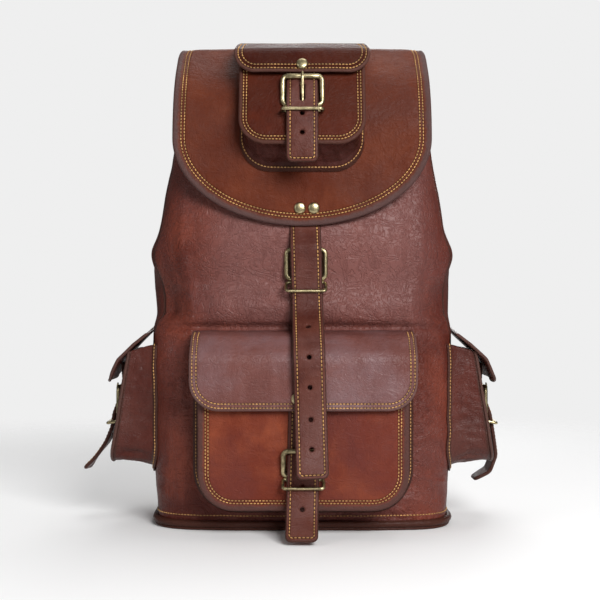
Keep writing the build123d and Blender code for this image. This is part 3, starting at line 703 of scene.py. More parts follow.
def follow(route, distance):
    """Points and unit tangents of a route at distances along it."""
    way = way_along(route)

    def at(where):
        """The points at distances along the route."""
        return np.stack([np.interp(where, way, route[:, k]) for k in range(route.shape[1])], -1)

    tangent = at(distance + 1.5) - at(distance - 1.5)
    return at(distance), tangent / np.maximum(np.linalg.norm(tangent, axis=-1, keepdims=True), 1e-9)


def route_length(route):
    """The length of a route."""
    return float(way_along(route)[-1])


def cut_shape(width, low, high, foot_radius, head_radius=0.5, middle=0.0, step=1.2):
    """Outline of a piece with rounded lower and upper corners, counter-clockwise, in millimetres."""
    left, right = middle - width / 2, middle + width / 2
    half = (low + high) / 2
    corners = [(left, half), (left, low), (right, low), (right, high), (left, high), (left, half)]
    return rounded_route(corners, [foot_radius, foot_radius, head_radius, head_radius], step)[:-1]


def round_hole(u, v, radius):
    """A punched hole's outline, clockwise."""
    turn = np.linspace(0, -2 * np.pi, 18, endpoint=False)
    return np.stack([u + radius * np.cos(turn), v + radius * np.sin(turn)], 1)


def distance_to(points, loops):
    """How far each flat point lies from the nearest of the closed loops."""
    best = np.full(len(points), 1e9)
    for loop in loops:
        start, end = loop, np.roll(loop, -1, 0)
        run = end - start
        length = np.maximum((run ** 2).sum(1), 1e-12)
        for first in range(0, len(points), 1500):
            gap = points[first:first + 1500, None] - start[None]
            share = np.clip((gap * run).sum(2) / length, 0, 1)
            away = np.linalg.norm(gap - share[..., None] * run, axis=2).min(1)
            best[first:first + 1500] = np.minimum(best[first:first + 1500], away)
    return best


def inset(loop, depth, loops):
    """Points that lie depth inside a loop, and which of them are clear of every other edge."""
    ahead = np.roll(loop, -1, 0) - np.roll(loop, 1, 0)
    ahead /= np.maximum(np.linalg.norm(ahead, axis=1, keepdims=True), 1e-9)
    moved = loop + depth * np.stack([-ahead[:, 1], ahead[:, 0]], 1)
    return moved, distance_to(moved, loops) > depth - 0.06


def within(points, loop):
    """Which flat points lie inside a closed loop."""
    inside = np.zeros(len(points), bool)
    for (x0, y0), (x1, y1) in zip(loop, np.roll(loop, -1, 0)):
        crosses = (y0 > points[:, 1]) != (y1 > points[:, 1])
        reach = (x1 - x0) * (points[:, 1] - y0) / (y1 - y0 if y1 != y0 else 1e-12) + x0
        inside ^= crosses & (points[:, 0] < reach)
    return inside


def rings(seams):
    """How far in from an edge a sheet needs rings of points for its rounding and its grooves."""
    depths = [0.25, 0.6, 1.2, 2.0, 2.8] + [seam + step for seam in seams for step in (-0.65, 0, 0.65)]
    last = max(depths)
    return sorted(depths) + [last + 1.0, last + 2.8]


def leather_half(thickness, seams=SEAM_DEPTHS, rim=0.35, puff=0.35):
    """Half the thickness of sewn leather: rolled rim, grooves, soft middle. depth is how far a point
    lies from any cut, reach how far from the outline."""

    def half(depth, reach):
        """Half thickness at each point."""
        top = thickness / 2 * np.sqrt(1 - (1 - np.clip(depth / (thickness / 2), 0, 1)) ** 2)
        top = top + rim * bump(reach, 1.9, 1.1) * (depth > 0)
        for seam in seams:
            top = top - 0.42 * bump(reach, seam, 0.75) * (depth > 0)
        if seams:
            top = top + puff * np.clip((reach - seams[-1]) / 5, 0, 1) ** 0.5 * np.clip(depth / 2, 0, 1)
        return top

    return half


def leather_sheet(name, outline, place, material, thickness, holes=(), spacing=3.0, top_half=None,
                  back_half=None, depths=None, seams=SEAM_DEPTHS):
    """A cut sheet, rounded at every edge. place() turns flat millimetres into points and normals."""
    loops = [outline] + list(holes)
    depths = depths or rings(seams)
    flat = list(loops)
    for depth in depths:
        for loop in loops:
            moved, clear = inset(loop, depth, loops)
            flat.append(moved[clear])
    low, high = outline.min(0), outline.max(0)
    rows = np.arange(low[1], high[1], spacing * 0.87)
    grid = np.array([(x + (k % 2) * spacing / 2, y) for k, y in enumerate(rows)
                     for x in np.arange(low[0], high[0], spacing)])
    grid = grid[within(grid, outline)]
    for hole in holes:
        grid = grid[~within(grid, hole)]
    grid = grid[distance_to(grid, loops) > depths[-1] + spacing * 0.6]
    flat = np.concatenate(flat + [grid])
    borders, first = [], 0
    for loop in loops:
        ids = list(range(first, first + len(loop)))
        borders += list(zip(ids, ids[1:] + ids[:1]))
        first += len(loop)
    found = delaunay_2d_cdt([Vector(p) for p in flat], borders, [], 1, 1e-5, False)
    flat = np.array([tuple(v) for v in found[0]])
    triangles = np.array([f for f in found[2] if len(f) == 3])
    for hole in holes:
        triangles = triangles[~within(flat[triangles].mean(1), hole)]
    a, b, c = flat[triangles[:, 0]], flat[triangles[:, 1]], flat[triangles[:, 2]]
    turning = (b[:, 0] - a[:, 0]) * (c[:, 1] - a[:, 1]) - (b[:, 1] - a[:, 1]) * (c[:, 0] - a[:, 0])
    triangles = triangles[np.abs(turning) > 1e-7]
    turning = turning[np.abs(turning) > 1e-7]
    triangles[turning < 0] = triangles[turning < 0][:, ::-1]
    depth = distance_to(flat, loops)
    depth[depth < 1e-3] = 0
    reach = distance_to(flat, [outline])
    spot, normal = place(flat)
    up = (top_half or leather_half(thickness, seams))(depth, reach)
    down = (back_half or leather_half(thickness, (), 0.0))(depth, reach)
    rim = depth == 0
    up[rim] = 0
    down[rim] = 0
    under = np.where(rim, np.arange(len(flat)), len(flat) + np.cumsum(~rim) - 1)
    points = np.concatenate([spot + normal * up[:, None], (spot - normal * down[:, None])[~rim]]) * MM
    faces = np.concatenate([triangles, under[triangles[:, ::-1]]])
    edge = np.concatenate([reach, reach[~rim]]) * MM
    return new_piece(name, points, faces, material, edge)


def seam_lines(outline, place, height, depths=SEAM_DEPTHS, keep=None):
    """Lines in metres that run along an outline at each depth, at a height above the sheet's middle."""
    lines = []
    for depth in depths:
        moved, clear = inset(outline, depth, [outline])
        if keep is not None:
            clear &= keep(moved)
        if clear.all():
            runs = [np.append(np.arange(len(moved)), 0)]
        else:
            order = np.roll(np.arange(len(moved)), -int(np.argmin(clear)))
            breaks = np.where(~clear[order])[0]
            runs = [run for run in np.split(order, breaks) if clear[run].sum() > 6]
            runs = [run[clear[run]] for run in runs]
        for run in runs:
            spot, normal = place(moved[run])
            lines.append((spot + normal * height) * MM)
    return lines


GUSSET_LEATHER = 1.8


def gusset(name, rim, foot, away, material, sag, fold, seed, flange=None, steps=16):
    """A band of leather from a pocket's rim to its foot on the bag. away points out of the pocket."""
    share = np.linspace(0, 1, steps)[None, :, None]
    grid = rim[:, None] * (1 - share) + foot[:, None] * share
    hollow = np.sin(np.pi * share) ** 0.8
    length = way_along((rim + foot) / 2)
    flat = np.stack([np.repeat(length, steps), np.tile(share[0, :, 0] * 22, len(rim)),
                     np.full(len(rim) * steps, seed * 40.0)], 1)
    crease = 1 - 2 * np.abs(wall_noise(flat * np.array([1.0, 0.4, 1.0]), 0.085, seed))
    crease = (crease + 0.5 * wall_noise(flat, 0.19, seed + 3)).reshape(len(rim), steps, 1)
    grid = grid + away[:, None] * hollow * (fold * crease - sag)
    if flange is not None:
        grid = np.concatenate([grid, flange], axis=1)
    normal = outward(grid, False)
    facing = (normal[:, steps // 2] * away).sum(1).mean()
    if facing < 0:
        grid = grid[::-1]
        normal = outward(grid, False)
    edge = np.minimum(np.arange(grid.shape[1]), np.arange(grid.shape[1])[::-1]) * 1.3 * MM
    inner = grid - normal * GUSSET_LEATHER
    return shell_piece(name, grid * MM, inner * MM, material, np.tile(edge, (len(rim), 1)))


FRONT_LOW, FRONT_HIGH, FRONT_WIDTH, FRONT_CORNER, FRONT_MIDDLE = 23.5, 148.0, 184.0, 32.0, 1.0
FRONT_CUT = (FRONT_LOW, FRONT_HIGH, FRONT_WIDTH, FRONT_CORNER, FRONT_MIDDLE)
FRONT_ROWS = (6.8, 9.2)
FRONT_LID_ROWS = (2.8, 6.4)
FRONT_LID_LINE = rounded_route([(-120.5, 111), (-120, 158), (-101, 174), (-79.8, 178.5)], [14, 14])
FRONT_LID_WIDTH = 198.0


def pocket_bulge(flat, low, high, width, middle, most):
    """Soft fullness of a pocket's front, none at its rim."""
    across = np.clip(1 - ((flat[:, 0] - middle) / (width / 2)) ** 4, 0, 1)
    up = np.clip(1 - ((flat[:, 1] - (low + high) / 2) / ((high - low) / 2)) ** 4, 0, 1)
    return most * across * up


def front_pocket_place(flat):
    """Points and normals of the front pocket's sheet."""
    out = pocket_bulge(flat, FRONT_LOW, 150, FRONT_WIDTH, FRONT_MIDDLE, 1.8)
    out += 0.5 * wall_noise(np.c_[flat, flat[:, 0] * 0], 0.03, 11)
    out -= 1.1 * bump(np.hypot(flat[:, 0] - 1, flat[:, 1] - 92), 0, 26)
    spot = np.stack([flat[:, 0], -111.2 - out, flat[:, 1]], 1)
    return spot, np.tile([0.0, -1.0, 0.0], (len(flat), 1))


def front_lid_place(flat):
    """Points and normals of the front pocket's lid: across, and up from its lower edge."""
    spot, way = follow(FRONT_LID_LINE, flat[:, 1])
    normal = np.stack([0 * way[:, 0], -way[:, 1], way[:, 0]], 1)
    sag = 0.9 * bump(flat[:, 1], 30, 22) * np.cos((flat[:, 0] - 1) / 31) ** 2
    curl = 1.2 * bump(flat[:, 1], 0, 9) * np.sin(flat[:, 0] / 13) * 0.5
    streak = 0.35 * wall_noise(np.c_[flat[:, 0] * 0.09, flat[:, 1] * 0.012, flat[:, 0] * 0], 1.0, 13)
    point = np.stack([flat[:, 0], spot[:, 0], spot[:, 1]], 1)
    return point + normal * (streak - sag + curl)[:, None], normal


def matched(line, count):
    """The same line with another number of points."""
    share, old = np.linspace(0, 1, count), np.linspace(0, 1, len(line))
    return np.stack([np.interp(share, old, line[:, k]) for k in range(line.shape[1])], 1)


def pocket_line(low, high, width, corner, middle, reach):
    """The open line down one side of a pocket, under it and up the other, and the way out of it."""
    left, right = middle - width / 2, middle + width / 2
    line = rounded_route([(left, high), (left, low), (right, low), (right, high)], [corner, corner], 2.0)
    ahead = np.gradient(line, axis=0)
    ahead /= np.linalg.norm(ahead, axis=1, keepdims=True)
    out = np.stack([ahead[:, 1], -ahead[:, 0]], 1) * -1
    if (out[len(out) // 2] * np.array([0, -1])).sum() < 0:
        out = -out
    return line + out * reach, out


front_outline = cut_shape(FRONT_WIDTH, FRONT_LOW, FRONT_HIGH, FRONT_CORNER, middle=FRONT_MIDDLE)
front_sheet = leather_sheet("front_pocket_sheet", front_outline, front_pocket_place, pocket_leather, 2.6,
                            seams=FRONT_ROWS)
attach(front_sheet, "bag")
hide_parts("front_pocket_front")

rim_line, rim_out = pocket_line(*FRONT_CUT, -1.2)
foot_line, _ = pocket_line(*FRONT_CUT, 1.5)
flange_line, _ = pocket_line(*FRONT_CUT, 7.0)
away = np.c_[rim_out[:, 0], np.zeros(len(rim_out)), rim_out[:, 1]]


def on_front(line, lift):
    """A flat line laid on the front of the bag, lift above it, in millimetres."""
    return np.array([(x, skin_y(x * MM, z * MM) / MM - lift, z) for x, z in line])


front_rim = np.c_[rim_line[:, 0], np.full(len(rim_line), -110.6), rim_line[:, 1]]
front_gusset = gusset("front_pocket_band", front_rim,
                      on_front(foot_line, 2.4), away, gusset_leather, 3.0, 1.0, 5,
                      flange=on_front(flange_line, 1.9)[:, None])
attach(front_gusset, "bag")
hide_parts("front_pocket_gusset")

lid_top = route_length(FRONT_LID_LINE)
lid_outline = cut_shape(FRONT_LID_WIDTH, 0, lid_top, 26, middle=FRONT_MIDDLE)
front_lid = leather_sheet("front_lid_sheet", lid_outline, front_lid_place, lid_leather, 3.0,
                          seams=FRONT_LID_ROWS)
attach(front_lid, "front_pocket_lid")
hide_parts("front_pocket_lid")

# the lid's lower edge covers the front's upper rows, so those stop below it
front_rows = seam_lines(front_outline, front_pocket_place, 1.1, FRONT_ROWS,
                        keep=lambda flat: flat[:, 1] < 140)
flange_row, _ = pocket_line(*FRONT_CUT, 4.4)
front_rows.append(on_front(flange_row, 2.0) * MM)
front_seams = stitches("front_pocket_stitches", front_rows, tan_thread)
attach(front_seams, "bag")
lid_rows = seam_lines(lid_outline, front_lid_place, 1.25, FRONT_LID_ROWS,
                      keep=lambda flat: flat[:, 1] < lid_top - 7)
lid_seams = stitches("front_lid_stitches", lid_rows, tan_thread)
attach(lid_seams, "front_pocket_lid")

# ---- Main flap ----------------------------------------------------------------------------------
# One broad sheet that runs from the back seam over the mouth and down the front to a rounded end.
# Its rim is turned and burnished, with two rows of stitches inside it and two brass rivets.

flap_leather = leather("flap_leather", (0.087, 0.017, 0.007), (0.158, 0.038, 0.016), (0.091, 0.026, 0.017),
                       patch=8.0, edge_colour=(0.085, 0.044, 0.040, 1), edge_width=0.0052, scratches=0.8,
                       seams=(7.8, 10.8), specular=0.07)

FLAP_LINE = rounded_route([(-83, 273), (-83, 392), (-22, 447), (62, 441), (66, 404)], [88, 60, 28])
FLAP_HALF = 116.0                # half the flap's width at its rounded end
CREST_HALF = 111.5               # and from the crest back
FLAP_END = 79.0                  # height of the rounded end
FLAP_LEATHER = 3.0
FLAP_ROWS = (7.8, 10.8)


def flap_place(flat):
    """Points and normals of the main flap: across, and up and over from its tip."""
    spot, way = follow(FLAP_LINE, flat[:, 1])
    normal = np.stack([0 * way[:, 0], -way[:, 1], way[:, 0]], 1)
    point = np.stack([flat[:, 0], spot[:, 0], spot[:, 1]], 1)
    across = flat[:, 0] / FLAP_HALF
    lift = 0.8 * wall_noise(np.c_[flat * 0.012, flat[:, 0] * 0], 1.0, 21)
    lift += 0.35 * wall_noise(np.c_[flat * 0.05, flat[:, 0] * 0], 1.0, 22)
    lift -= 1.6 * np.abs(across) ** 6 * bump(flat[:, 1], 190, 70)
    lift += 1.0 * bump(flat[:, 1], 12, 26) * bump(np.abs(flat[:, 0]), 52, 26)
    return point + normal * lift[:, None], normal


flap_top = route_length(FLAP_LINE)
sweep = np.linspace(np.pi, 2 * np.pi, 240)
flap_outline = rounded_route(
    [(FLAP_HALF * math.cos(a), FLAP_END + FLAP_END * math.sin(a)) for a in sweep]
    + [(115.5, 175), (112.5, 250), (CREST_HALF, 285), (CREST_HALF, flap_top),
       (-CREST_HALF, flap_top), (-CREST_HALF, 285), (-112.5, 250), (-115.5, 175), (-FLAP_HALF, FLAP_END + 1)],
    [0.0] * 247, 1.3)[:-1]
flap = leather_sheet("flap_sheet", flap_outline, flap_place, flap_leather, FLAP_LEATHER, seams=FLAP_ROWS)
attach(flap, "main_flap")
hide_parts("main_flap")
flap_rows = seam_lines(flap_outline, flap_place, 1.25, FLAP_ROWS,
                       keep=lambda flat: flat[:, 1] < flap_top - 12)
flap_seams = stitches("flap_stitches", flap_rows, tan_thread)
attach(flap_seams, "main_flap")

# the back seam: a strip sewn to the bag and to the flap
BACK_SEAM_LINE = rounded_route([(62.8, 381), (61.8, 395), (68.6, 405), (67.2, 417)], [10, 6], 0.8)


def back_seam_place(flat):
    """Points and normals of the back seam's strip: across, and up."""
    spot, run = follow(BACK_SEAM_LINE, flat[:, 1])
    return np.c_[-flat[:, 0], spot], np.stack([0 * run[:, 0], run[:, 1], -run[:, 0]], 1)


back_seam_outline = cut_shape(170, 0, route_length(BACK_SEAM_LINE), 3, 3)
back_seam = leather_sheet("back_seam_strip", back_seam_outline, back_seam_place, flap_leather, 1.6, (), 3.0,
                          leather_half(1.6, (), 0.0, 0.0),
                          leather_half(1.6, (), 0.0, 0.0), depths=(0.25, 0.8, 1.6, 2.6))
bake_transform(back_seam)

brass = bpy.data.materials.new("antique_brass")
brass.use_nodes = True
brass_tree = brass.node_tree
brass_shader = brass_tree.nodes["Principled BSDF"]
brass_place = brass_tree.nodes.new("ShaderNodeTexCoord").outputs["Object"]
tarnish = ramp(brass_tree, noise_node(brass_tree, brass_place, 120.0, 6.0, 0.65, 0.5), 0.42, 0.68)
spots = ramp(brass_tree, noise_node(brass_tree, brass_place, 700.0, 4.0, 0.7), 0.52, 0.75)
dull = math_node(brass_tree, "MAXIMUM", tarnish, math_node(brass_tree, "MULTIPLY", spots, 0.6))
link(brass_tree, mix_colour(brass_tree, dull, (0.50, 0.42, 0.24, 1), (0.13, 0.105, 0.058, 1)),
     brass_shader.inputs["Base Color"])
link(brass_tree, math_node(brass_tree, "MULTIPLY_ADD", dull, 0.22, 0.30), brass_shader.inputs["Roughness"])
brass_shader.inputs["Metallic"].default_value = 1.0
pits = brass_tree.nodes.new("ShaderNodeBump")
pits.inputs["Strength"].default_value = 0.35
pits.inputs["Distance"].default_value = 0.0002
link(brass_tree, noise_node(brass_tree, brass_place, 1500.0, 3.0), pits.inputs["Height"])
link(brass_tree, pits.outputs["Normal"], brass_shader.inputs["Normal"])


def turned(profile, centre, axis, sides=28):
    """A solid turned about an axis: profile is radius and height pairs from its foot to its crown."""
    axis = np.array(axis, float) / np.linalg.norm(axis)
    first = np.cross(axis, (0.0, 0.0, 1.0) if abs(axis[2]) < 0.9 else (1.0, 0.0, 0.0))
    first /= np.linalg.norm(first)
    second = np.cross(axis, first)
    turn = np.linspace(0, 2 * np.pi, sides, endpoint=False)
    circle = np.cos(turn)[:, None] * first + np.sin(turn)[:, None] * second
    points = np.concatenate([np.array(centre) + r * circle + h * axis for r, h in profile]) * MM
    faces = grid_faces(len(profile), sides, wrap=True)
    faces.append(tuple(reversed(range(sides))))
    faces.append(tuple(range((len(profile) - 1) * sides, len(profile) * sides)))
    return points, faces


def many(name, solids, material):
    """One piece from several solids' points and faces."""
    points, faces, first = [], [], 0
    for solid_points, solid_faces in solids:
        points.append(solid_points)
        faces += [tuple(i + first for i in f) for f in solid_faces]
        first += len(solid_points)
    return new_piece(name, np.concatenate(points), faces, material)


# radius and height, from the foot to the crown
RIVET_PROFILE = [(5.1, -0.4), (5.2, 0.2), (5.0, 0.8), (4.5, 1.35), (3.6, 1.75), (2.3, 2.0), (1.0, 2.1),
                 (0.3, 2.12)]


def rivets(name, body, node, spots, axis):
    """Domed brass rivets with their feet at spots."""
    piece = many(name, [turned(RIVET_PROFILE, spot, axis) for spot in spots], brass)
    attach(piece, body)
    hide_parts(node)


rivets("flap_rivet_caps", "main_flap", "main_flap_rivets", [(-2.1, -84.9, 289), (10.5, -84.9, 289)],
       (0, -1, 0))
rivets("front_lid_rivet_cap", "front_pocket_lid", "front_lid_rivet", [(-4.5, -122.3, 122)], (0, -1, 0))

# ---- Flap pocket --------------------------------------------------------------------------------
# A small buckled pocket that stands off the flap on a crumpled gusset. The gusset's foot is turned
# out into a flange and sewn down; the lid comes over it from the top of the flap.

flap_lid_leather = leather("flap_lid_leather", (0.035, 0.005, 0.002), (0.065, 0.012, 0.005),
                           (0.050, 0.012, 0.006),
                           patch=12.0, edge_colour=(0.085, 0.036, 0.028, 1), edge_width=0.0024,
                           seams=(3.6, 7.2), specular=0.07)
flap_pocket_leather = leather("flap_pocket_leather", (0.054, 0.009, 0.004), (0.112, 0.020, 0.008),
                              (0.065, 0.015, 0.008), patch=13.0, edge_colour=(0.080, 0.032, 0.024, 1),
                              edge_width=0.0028, seams=(4.2, 6.9), specular=0.07)
flange_leather = leather("crumpled_leather", (0.034, 0.007, 0.004), (0.060, 0.012, 0.008),
                         (0.098, 0.033, 0.028),
                         patch=30.0, roughness=0.40, scratches=0.6, edge_width=0.0006)

POCKET_FOOT = np.array([-112.0, 343.0])
POCKET_HEAD = np.array([-85.0, 420.0])
POCKET_UP = (POCKET_HEAD - POCKET_FOOT) / np.linalg.norm(POCKET_HEAD - POCKET_FOOT)
POCKET_OUT = np.array([-POCKET_UP[1], POCKET_UP[0]])
FLAP_LID_LINE = rounded_route([(-97, 408), (-89, 429), (-44, 441.5), (-12, 449.8)], [12, 16])
FLAP_POCKET_ROWS = (4.2, 6.9)
FLAP_POCKET_WIDTH, FLAP_POCKET_HIGH, FLAP_POCKET_CORNER = 112.0, 79.6, 25.0
FLAP_LID_WIDTH = 121.0


def flap_pocket_place(flat):
    """Points and normals of the flap pocket's sheet: across, and up its leaning face."""
    out = -1.3 + pocket_bulge(flat, 0, 84, FLAP_POCKET_WIDTH, 0, 1.6)
    out += 0.4 * wall_noise(np.c_[flat, flat[:, 0] * 0], 0.04, 31)
    spot = POCKET_FOOT + flat[:, 1:] * POCKET_UP + out[:, None] * POCKET_OUT
    normal = np.tile([0.0, POCKET_OUT[0], POCKET_OUT[1]], (len(flat), 1))
    return np.c_[flat[:, 0], spot], normal


def flap_lid_place(flat):
    """Points and normals of the flap pocket's lid: across, and up from its lower edge."""
    spot, way = follow(FLAP_LID_LINE, flat[:, 1])
    normal = np.stack([0 * way[:, 0], -way[:, 1], way[:, 0]], 1)
    lift = 0.5 * wall_noise(np.c_[flat * 0.03, flat[:, 0] * 0], 1.0, 33)
    lift -= 0.8 * bump(flat[:, 1], 0, 8) * np.cos(flat[:, 0] / 17) ** 2
    return np.c_[flat[:, 0], spot] + normal * lift[:, None], normal


def on_flap(line, lift):
    """A line across and up in height laid on the front of the flap, lift above it."""
    front = FLAP_LINE[:int(np.argmax(FLAP_LINE[:, 1] > 440))]
    spots = []
    for x, z in line:
        way = np.interp(z, front[:, 1], way_along(front))
        point, normal = flap_place(np.array([[x, way]]))
        spots.append(point[0] + normal[0] * (FLAP_LEATHER / 2 + lift))
    return np.array(spots)


pocket_outline = cut_shape(FLAP_POCKET_WIDTH, 0, FLAP_POCKET_HIGH, FLAP_POCKET_CORNER)
pocket_sheet = leather_sheet("flap_pocket_sheet", pocket_outline, flap_pocket_place, flap_pocket_leather, 2.6,
                             seams=FLAP_POCKET_ROWS)
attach(pocket_sheet, "main_flap")
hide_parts("flap_pocket_front")

rim_line, rim_out = pocket_line(0, FLAP_POCKET_HIGH, FLAP_POCKET_WIDTH, FLAP_POCKET_CORNER, 0, -1.2)
rim_points, _ = flap_pocket_place(rim_line)
rim_points += np.array([0, -POCKET_OUT[0], -POCKET_OUT[1]]) * 0.9
foot_line, _ = pocket_line(329, 425, 104, 25, 0, 0)
foot_line = matched(foot_line, len(rim_line))
flange_line, _ = pocket_line(321.5, 425, 111, 27, 0, 0)
flange_line = matched(flange_line, len(rim_line))
away = np.c_[rim_out[:, 0], np.zeros(len(rim_out)), rim_out[:, 1]]
flap_gusset = gusset("flap_pocket_band", rim_points, on_flap(foot_line, 1.9), away, flange_leather,
                     2.5, 2.4, 7, flange=on_flap(flange_line, 1.7)[:, None])
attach(flap_gusset, "main_flap")
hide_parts("flap_pocket_gusset")

lid_top = route_length(FLAP_LID_LINE)
flap_lid_outline = cut_shape(FLAP_LID_WIDTH, 0, lid_top, 20)
flap_lid = leather_sheet("flap_lid_sheet", flap_lid_outline, flap_lid_place, flap_lid_leather, 2.6)
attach(flap_lid, "flap_pocket_lid")
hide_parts("flap_pocket_lid")
row_line = (foot_line + flange_line) / 2
pocket_rows = seam_lines(pocket_outline, flap_pocket_place, 1.1, FLAP_POCKET_ROWS,
                         keep=lambda flat: flat[:, 1] < 72)
pocket_rows.append(on_flap(row_line, 1.9) * MM)
pocket_seams = stitches("flap_pocket_stitches", pocket_rows, tan_thread)
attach(pocket_seams, "main_flap")
flap_lid_rows = seam_lines(flap_lid_outline, flap_lid_place, 1.1, keep=lambda flat: flat[:, 1] < lid_top - 6)
flap_lid_seams = stitches("flap_lid_stitches", flap_lid_rows, tan_thread)
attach(flap_lid_seams, "flap_pocket_lid")
rivets("flap_lid_rivet_cap", "flap_pocket_lid", "flap_lid_rivet", [(0, -95.7, 415.5)], (0, -0.9345, 0.356))

# ---- Side pockets -------------------------------------------------------------------------------
# A tall buckled pocket on each side, deeper at its foot than at its mouth, with a short lid. Their
# gussets are folded and streaked where the leather has been stretched round the corners.

side_leather = leather("side_pocket_leather", (0.072, 0.013, 0.008), (0.128, 0.027, 0.015),
                       (0.106, 0.033, 0.024),
                       patch=16.0, edge_colour=(0.085, 0.040, 0.032, 1), edge_width=0.0026, specular=0.14)
SIDE_LOW, SIDE_HIGH, SIDE_WIDTH, SIDE_CORNER = -49.0, 57.0, 105.0, 24.0
SIDE_FACE_X = 170.0
SIDE_FACE_Z = 104.0
SIDE_LEAN = math.radians(9.3)
SIDE_LID_LINE = rounded_route([(181.5, 134), (176.5, 150), (160, 166.5), (141.8, 184)], [10, 12])
SIDE_LID_SAG = rounded_route([(179.5, 130), (169.5, 152), (155, 166), (141.8, 176)], [10, 12])
SIDE_LID_WIDTH = 112.0

for side_name, side in (("left", -1), ("right", 1)):
    face_out = np.array([side * math.cos(SIDE_LEAN), 0, math.sin(SIDE_LEAN)])
    face_up = np.array([-side * math.sin(SIDE_LEAN), 0, math.cos(SIDE_LEAN)])
    face_middle = np.array([side * SIDE_FACE_X, 2.0, SIDE_FACE_Z])

    def side_place(flat, out=face_out, up=face_up, middle=face_middle, way=side):
        """Points and normals of a side pocket's sheet: across, and up its leaning face."""
        full = -1.3 + pocket_bulge(flat, SIDE_LOW, 64, SIDE_WIDTH, 0, 2.4)
        full += 0.5 * wall_noise(np.c_[flat, flat[:, 0] * 0], 0.035, 41 + way)
        spot = middle + flat[:, :1] * np.array([0, way, 0]) + flat[:, 1:] * up + full[:, None] * out
        return spot, np.tile(out, (len(flat), 1))

    def side_lid_place(flat, way=side):
        """Points and normals of a side pocket's lid: across, and up from its lower edge."""
        spot, run = follow(SIDE_LID_LINE, flat[:, 1])
        low, _ = follow(SIDE_LID_SAG, flat[:, 1] * route_length(SIDE_LID_SAG) / route_length(SIDE_LID_LINE))
        front = np.clip(0.5 - way * flat[:, :1] / 90, 0, 1)
        spot = spot + (low - spot) * front
        normal = np.stack([way * run[:, 1], 0 * run[:, 0], -run[:, 0]], 1)
        lift = 0.6 * wall_noise(np.c_[flat * 0.04, flat[:, 0] * 0], 1.0, 44 + way)
        lift += 0.9 * bump(flat[:, 1], 0, 8) * np.sin(flat[:, 0] / 9 + way)
        point = np.stack([way * spot[:, 0], 2.0 + way * flat[:, 0], spot[:, 1]], 1)
        return point + normal * lift[:, None], normal

    outline = cut_shape(SIDE_WIDTH, SIDE_LOW, SIDE_HIGH, SIDE_CORNER)
    sheet = leather_sheet(side_name + "_pocket_sheet", outline, side_place, side_leather, 2.6)
    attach(sheet, "bag")
    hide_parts(side_name + "_pocket_front")

    rim_line, rim_out = pocket_line(SIDE_LOW, SIDE_HIGH, SIDE_WIDTH, SIDE_CORNER, 0, -1.2)
    rim_points, _ = side_place(rim_line)
    rim_points -= face_out * 0.9
    foot_line, _ = pocket_line(52, 166, 108, 25, 0, 0)
    foot_line = matched(foot_line, len(rim_line))
    foot_points = np.array([(skin_x((2 + side * y) * MM, z * MM, side) / MM + side * 2.2, 2 + side * y, z)
                            for y, z in foot_line])
    flange_line, _ = pocket_line(47, 166, 118, 27, 0, 0)
    flange_line = matched(flange_line, len(rim_line))
    flange_points = np.array([(skin_x((2 + side * y) * MM, z * MM, side) / MM + side * 1.9, 2 + side * y, z)
                              for y, z in flange_line])
    away = np.c_[np.zeros(len(rim_out)), side * rim_out[:, 0], rim_out[:, 1]]
    band = gusset(side_name + "_pocket_band", rim_points, foot_points, away, gusset_leather,
                  3.0, 1.8, 8 + side, flange=flange_points[:, None], steps=22)
    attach(band, "bag")
    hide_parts(side_name + "_pocket_gusset")

    lid_top = route_length(SIDE_LID_LINE)
    lid_outline = cut_shape(SIDE_LID_WIDTH, 0, lid_top, 22)
    lid = leather_sheet(side_name + "_lid_sheet", lid_outline, side_lid_place, side_leather, 2.6)
    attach(lid, side_name + "_pocket_lid")
    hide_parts(side_name + "_pocket_lid")

    rows = seam_lines(outline, side_place, 1.1, keep=lambda flat: flat[:, 1] < 45)
    rows.append((foot_points + flange_points) / 2 * MM + np.array([side * 0.3 * MM, 0, 0]))
    sewn = stitches(side_name + "_pocket_stitches", rows, tan_thread)
    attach(sewn, "bag")
    lid_rows = seam_lines(lid_outline, side_lid_place, 1.1,
                          keep=lambda flat, top=lid_top: flat[:, 1] < top - 6)
    lid_sewn = stitches(side_name + "_lid_stitches", lid_rows, tan_thread)
    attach(lid_sewn, side_name + "_pocket_lid")

# ---- Straps -------------------------------------------------------------------------------------
# Five buckle straps of two layers sewn along both edges, punched with holes. Each bends from the
# lid or flap that it is sewn to into its own free length, which hangs or lies through its buckle.

strap_leather = leather("strap_leather", (0.064, 0.015, 0.010), (0.108, 0.030, 0.019), (0.120, 0.048, 0.040),
                        patch=24.0, edge_colour=(0.060, 0.024, 0.018, 1), edge_width=0.0012, roughness=0.44,
                        seams=(3.5,), specular=0.12)
STRAP_WIDTH = 28.0
STRAP_THICK = 3.4
STRAP_DEPTHS = (0.25, 0.6, 1.2, 2.0, 2.7, 3.1, 3.5, 3.9, 4.4, 5.4, 7.0)
STRAP_SEAM = (3.5,)
TIP_RADIUS = 5.5
TONGUE_SLOT = 4.5


def seat_at(origin, lean=0.0, tilt=0.0, side=0):
    """A buckle's seat: centre of its bar, then its ways across, up the strap and out."""
    if side:
        across = np.array([0.0, side, 0.0])
        out = np.array([side * math.cos(tilt), 0.0, math.sin(tilt)])
        up = np.array([-side * math.sin(tilt), 0.0, math.cos(tilt)])
    else:
        across = np.array([math.cos(lean), 0.0, math.sin(lean)])
        out = np.array([0.0, -math.cos(tilt), math.sin(tilt)])
        up = np.cross(out, across)
    return np.array(origin, float), across, up, out


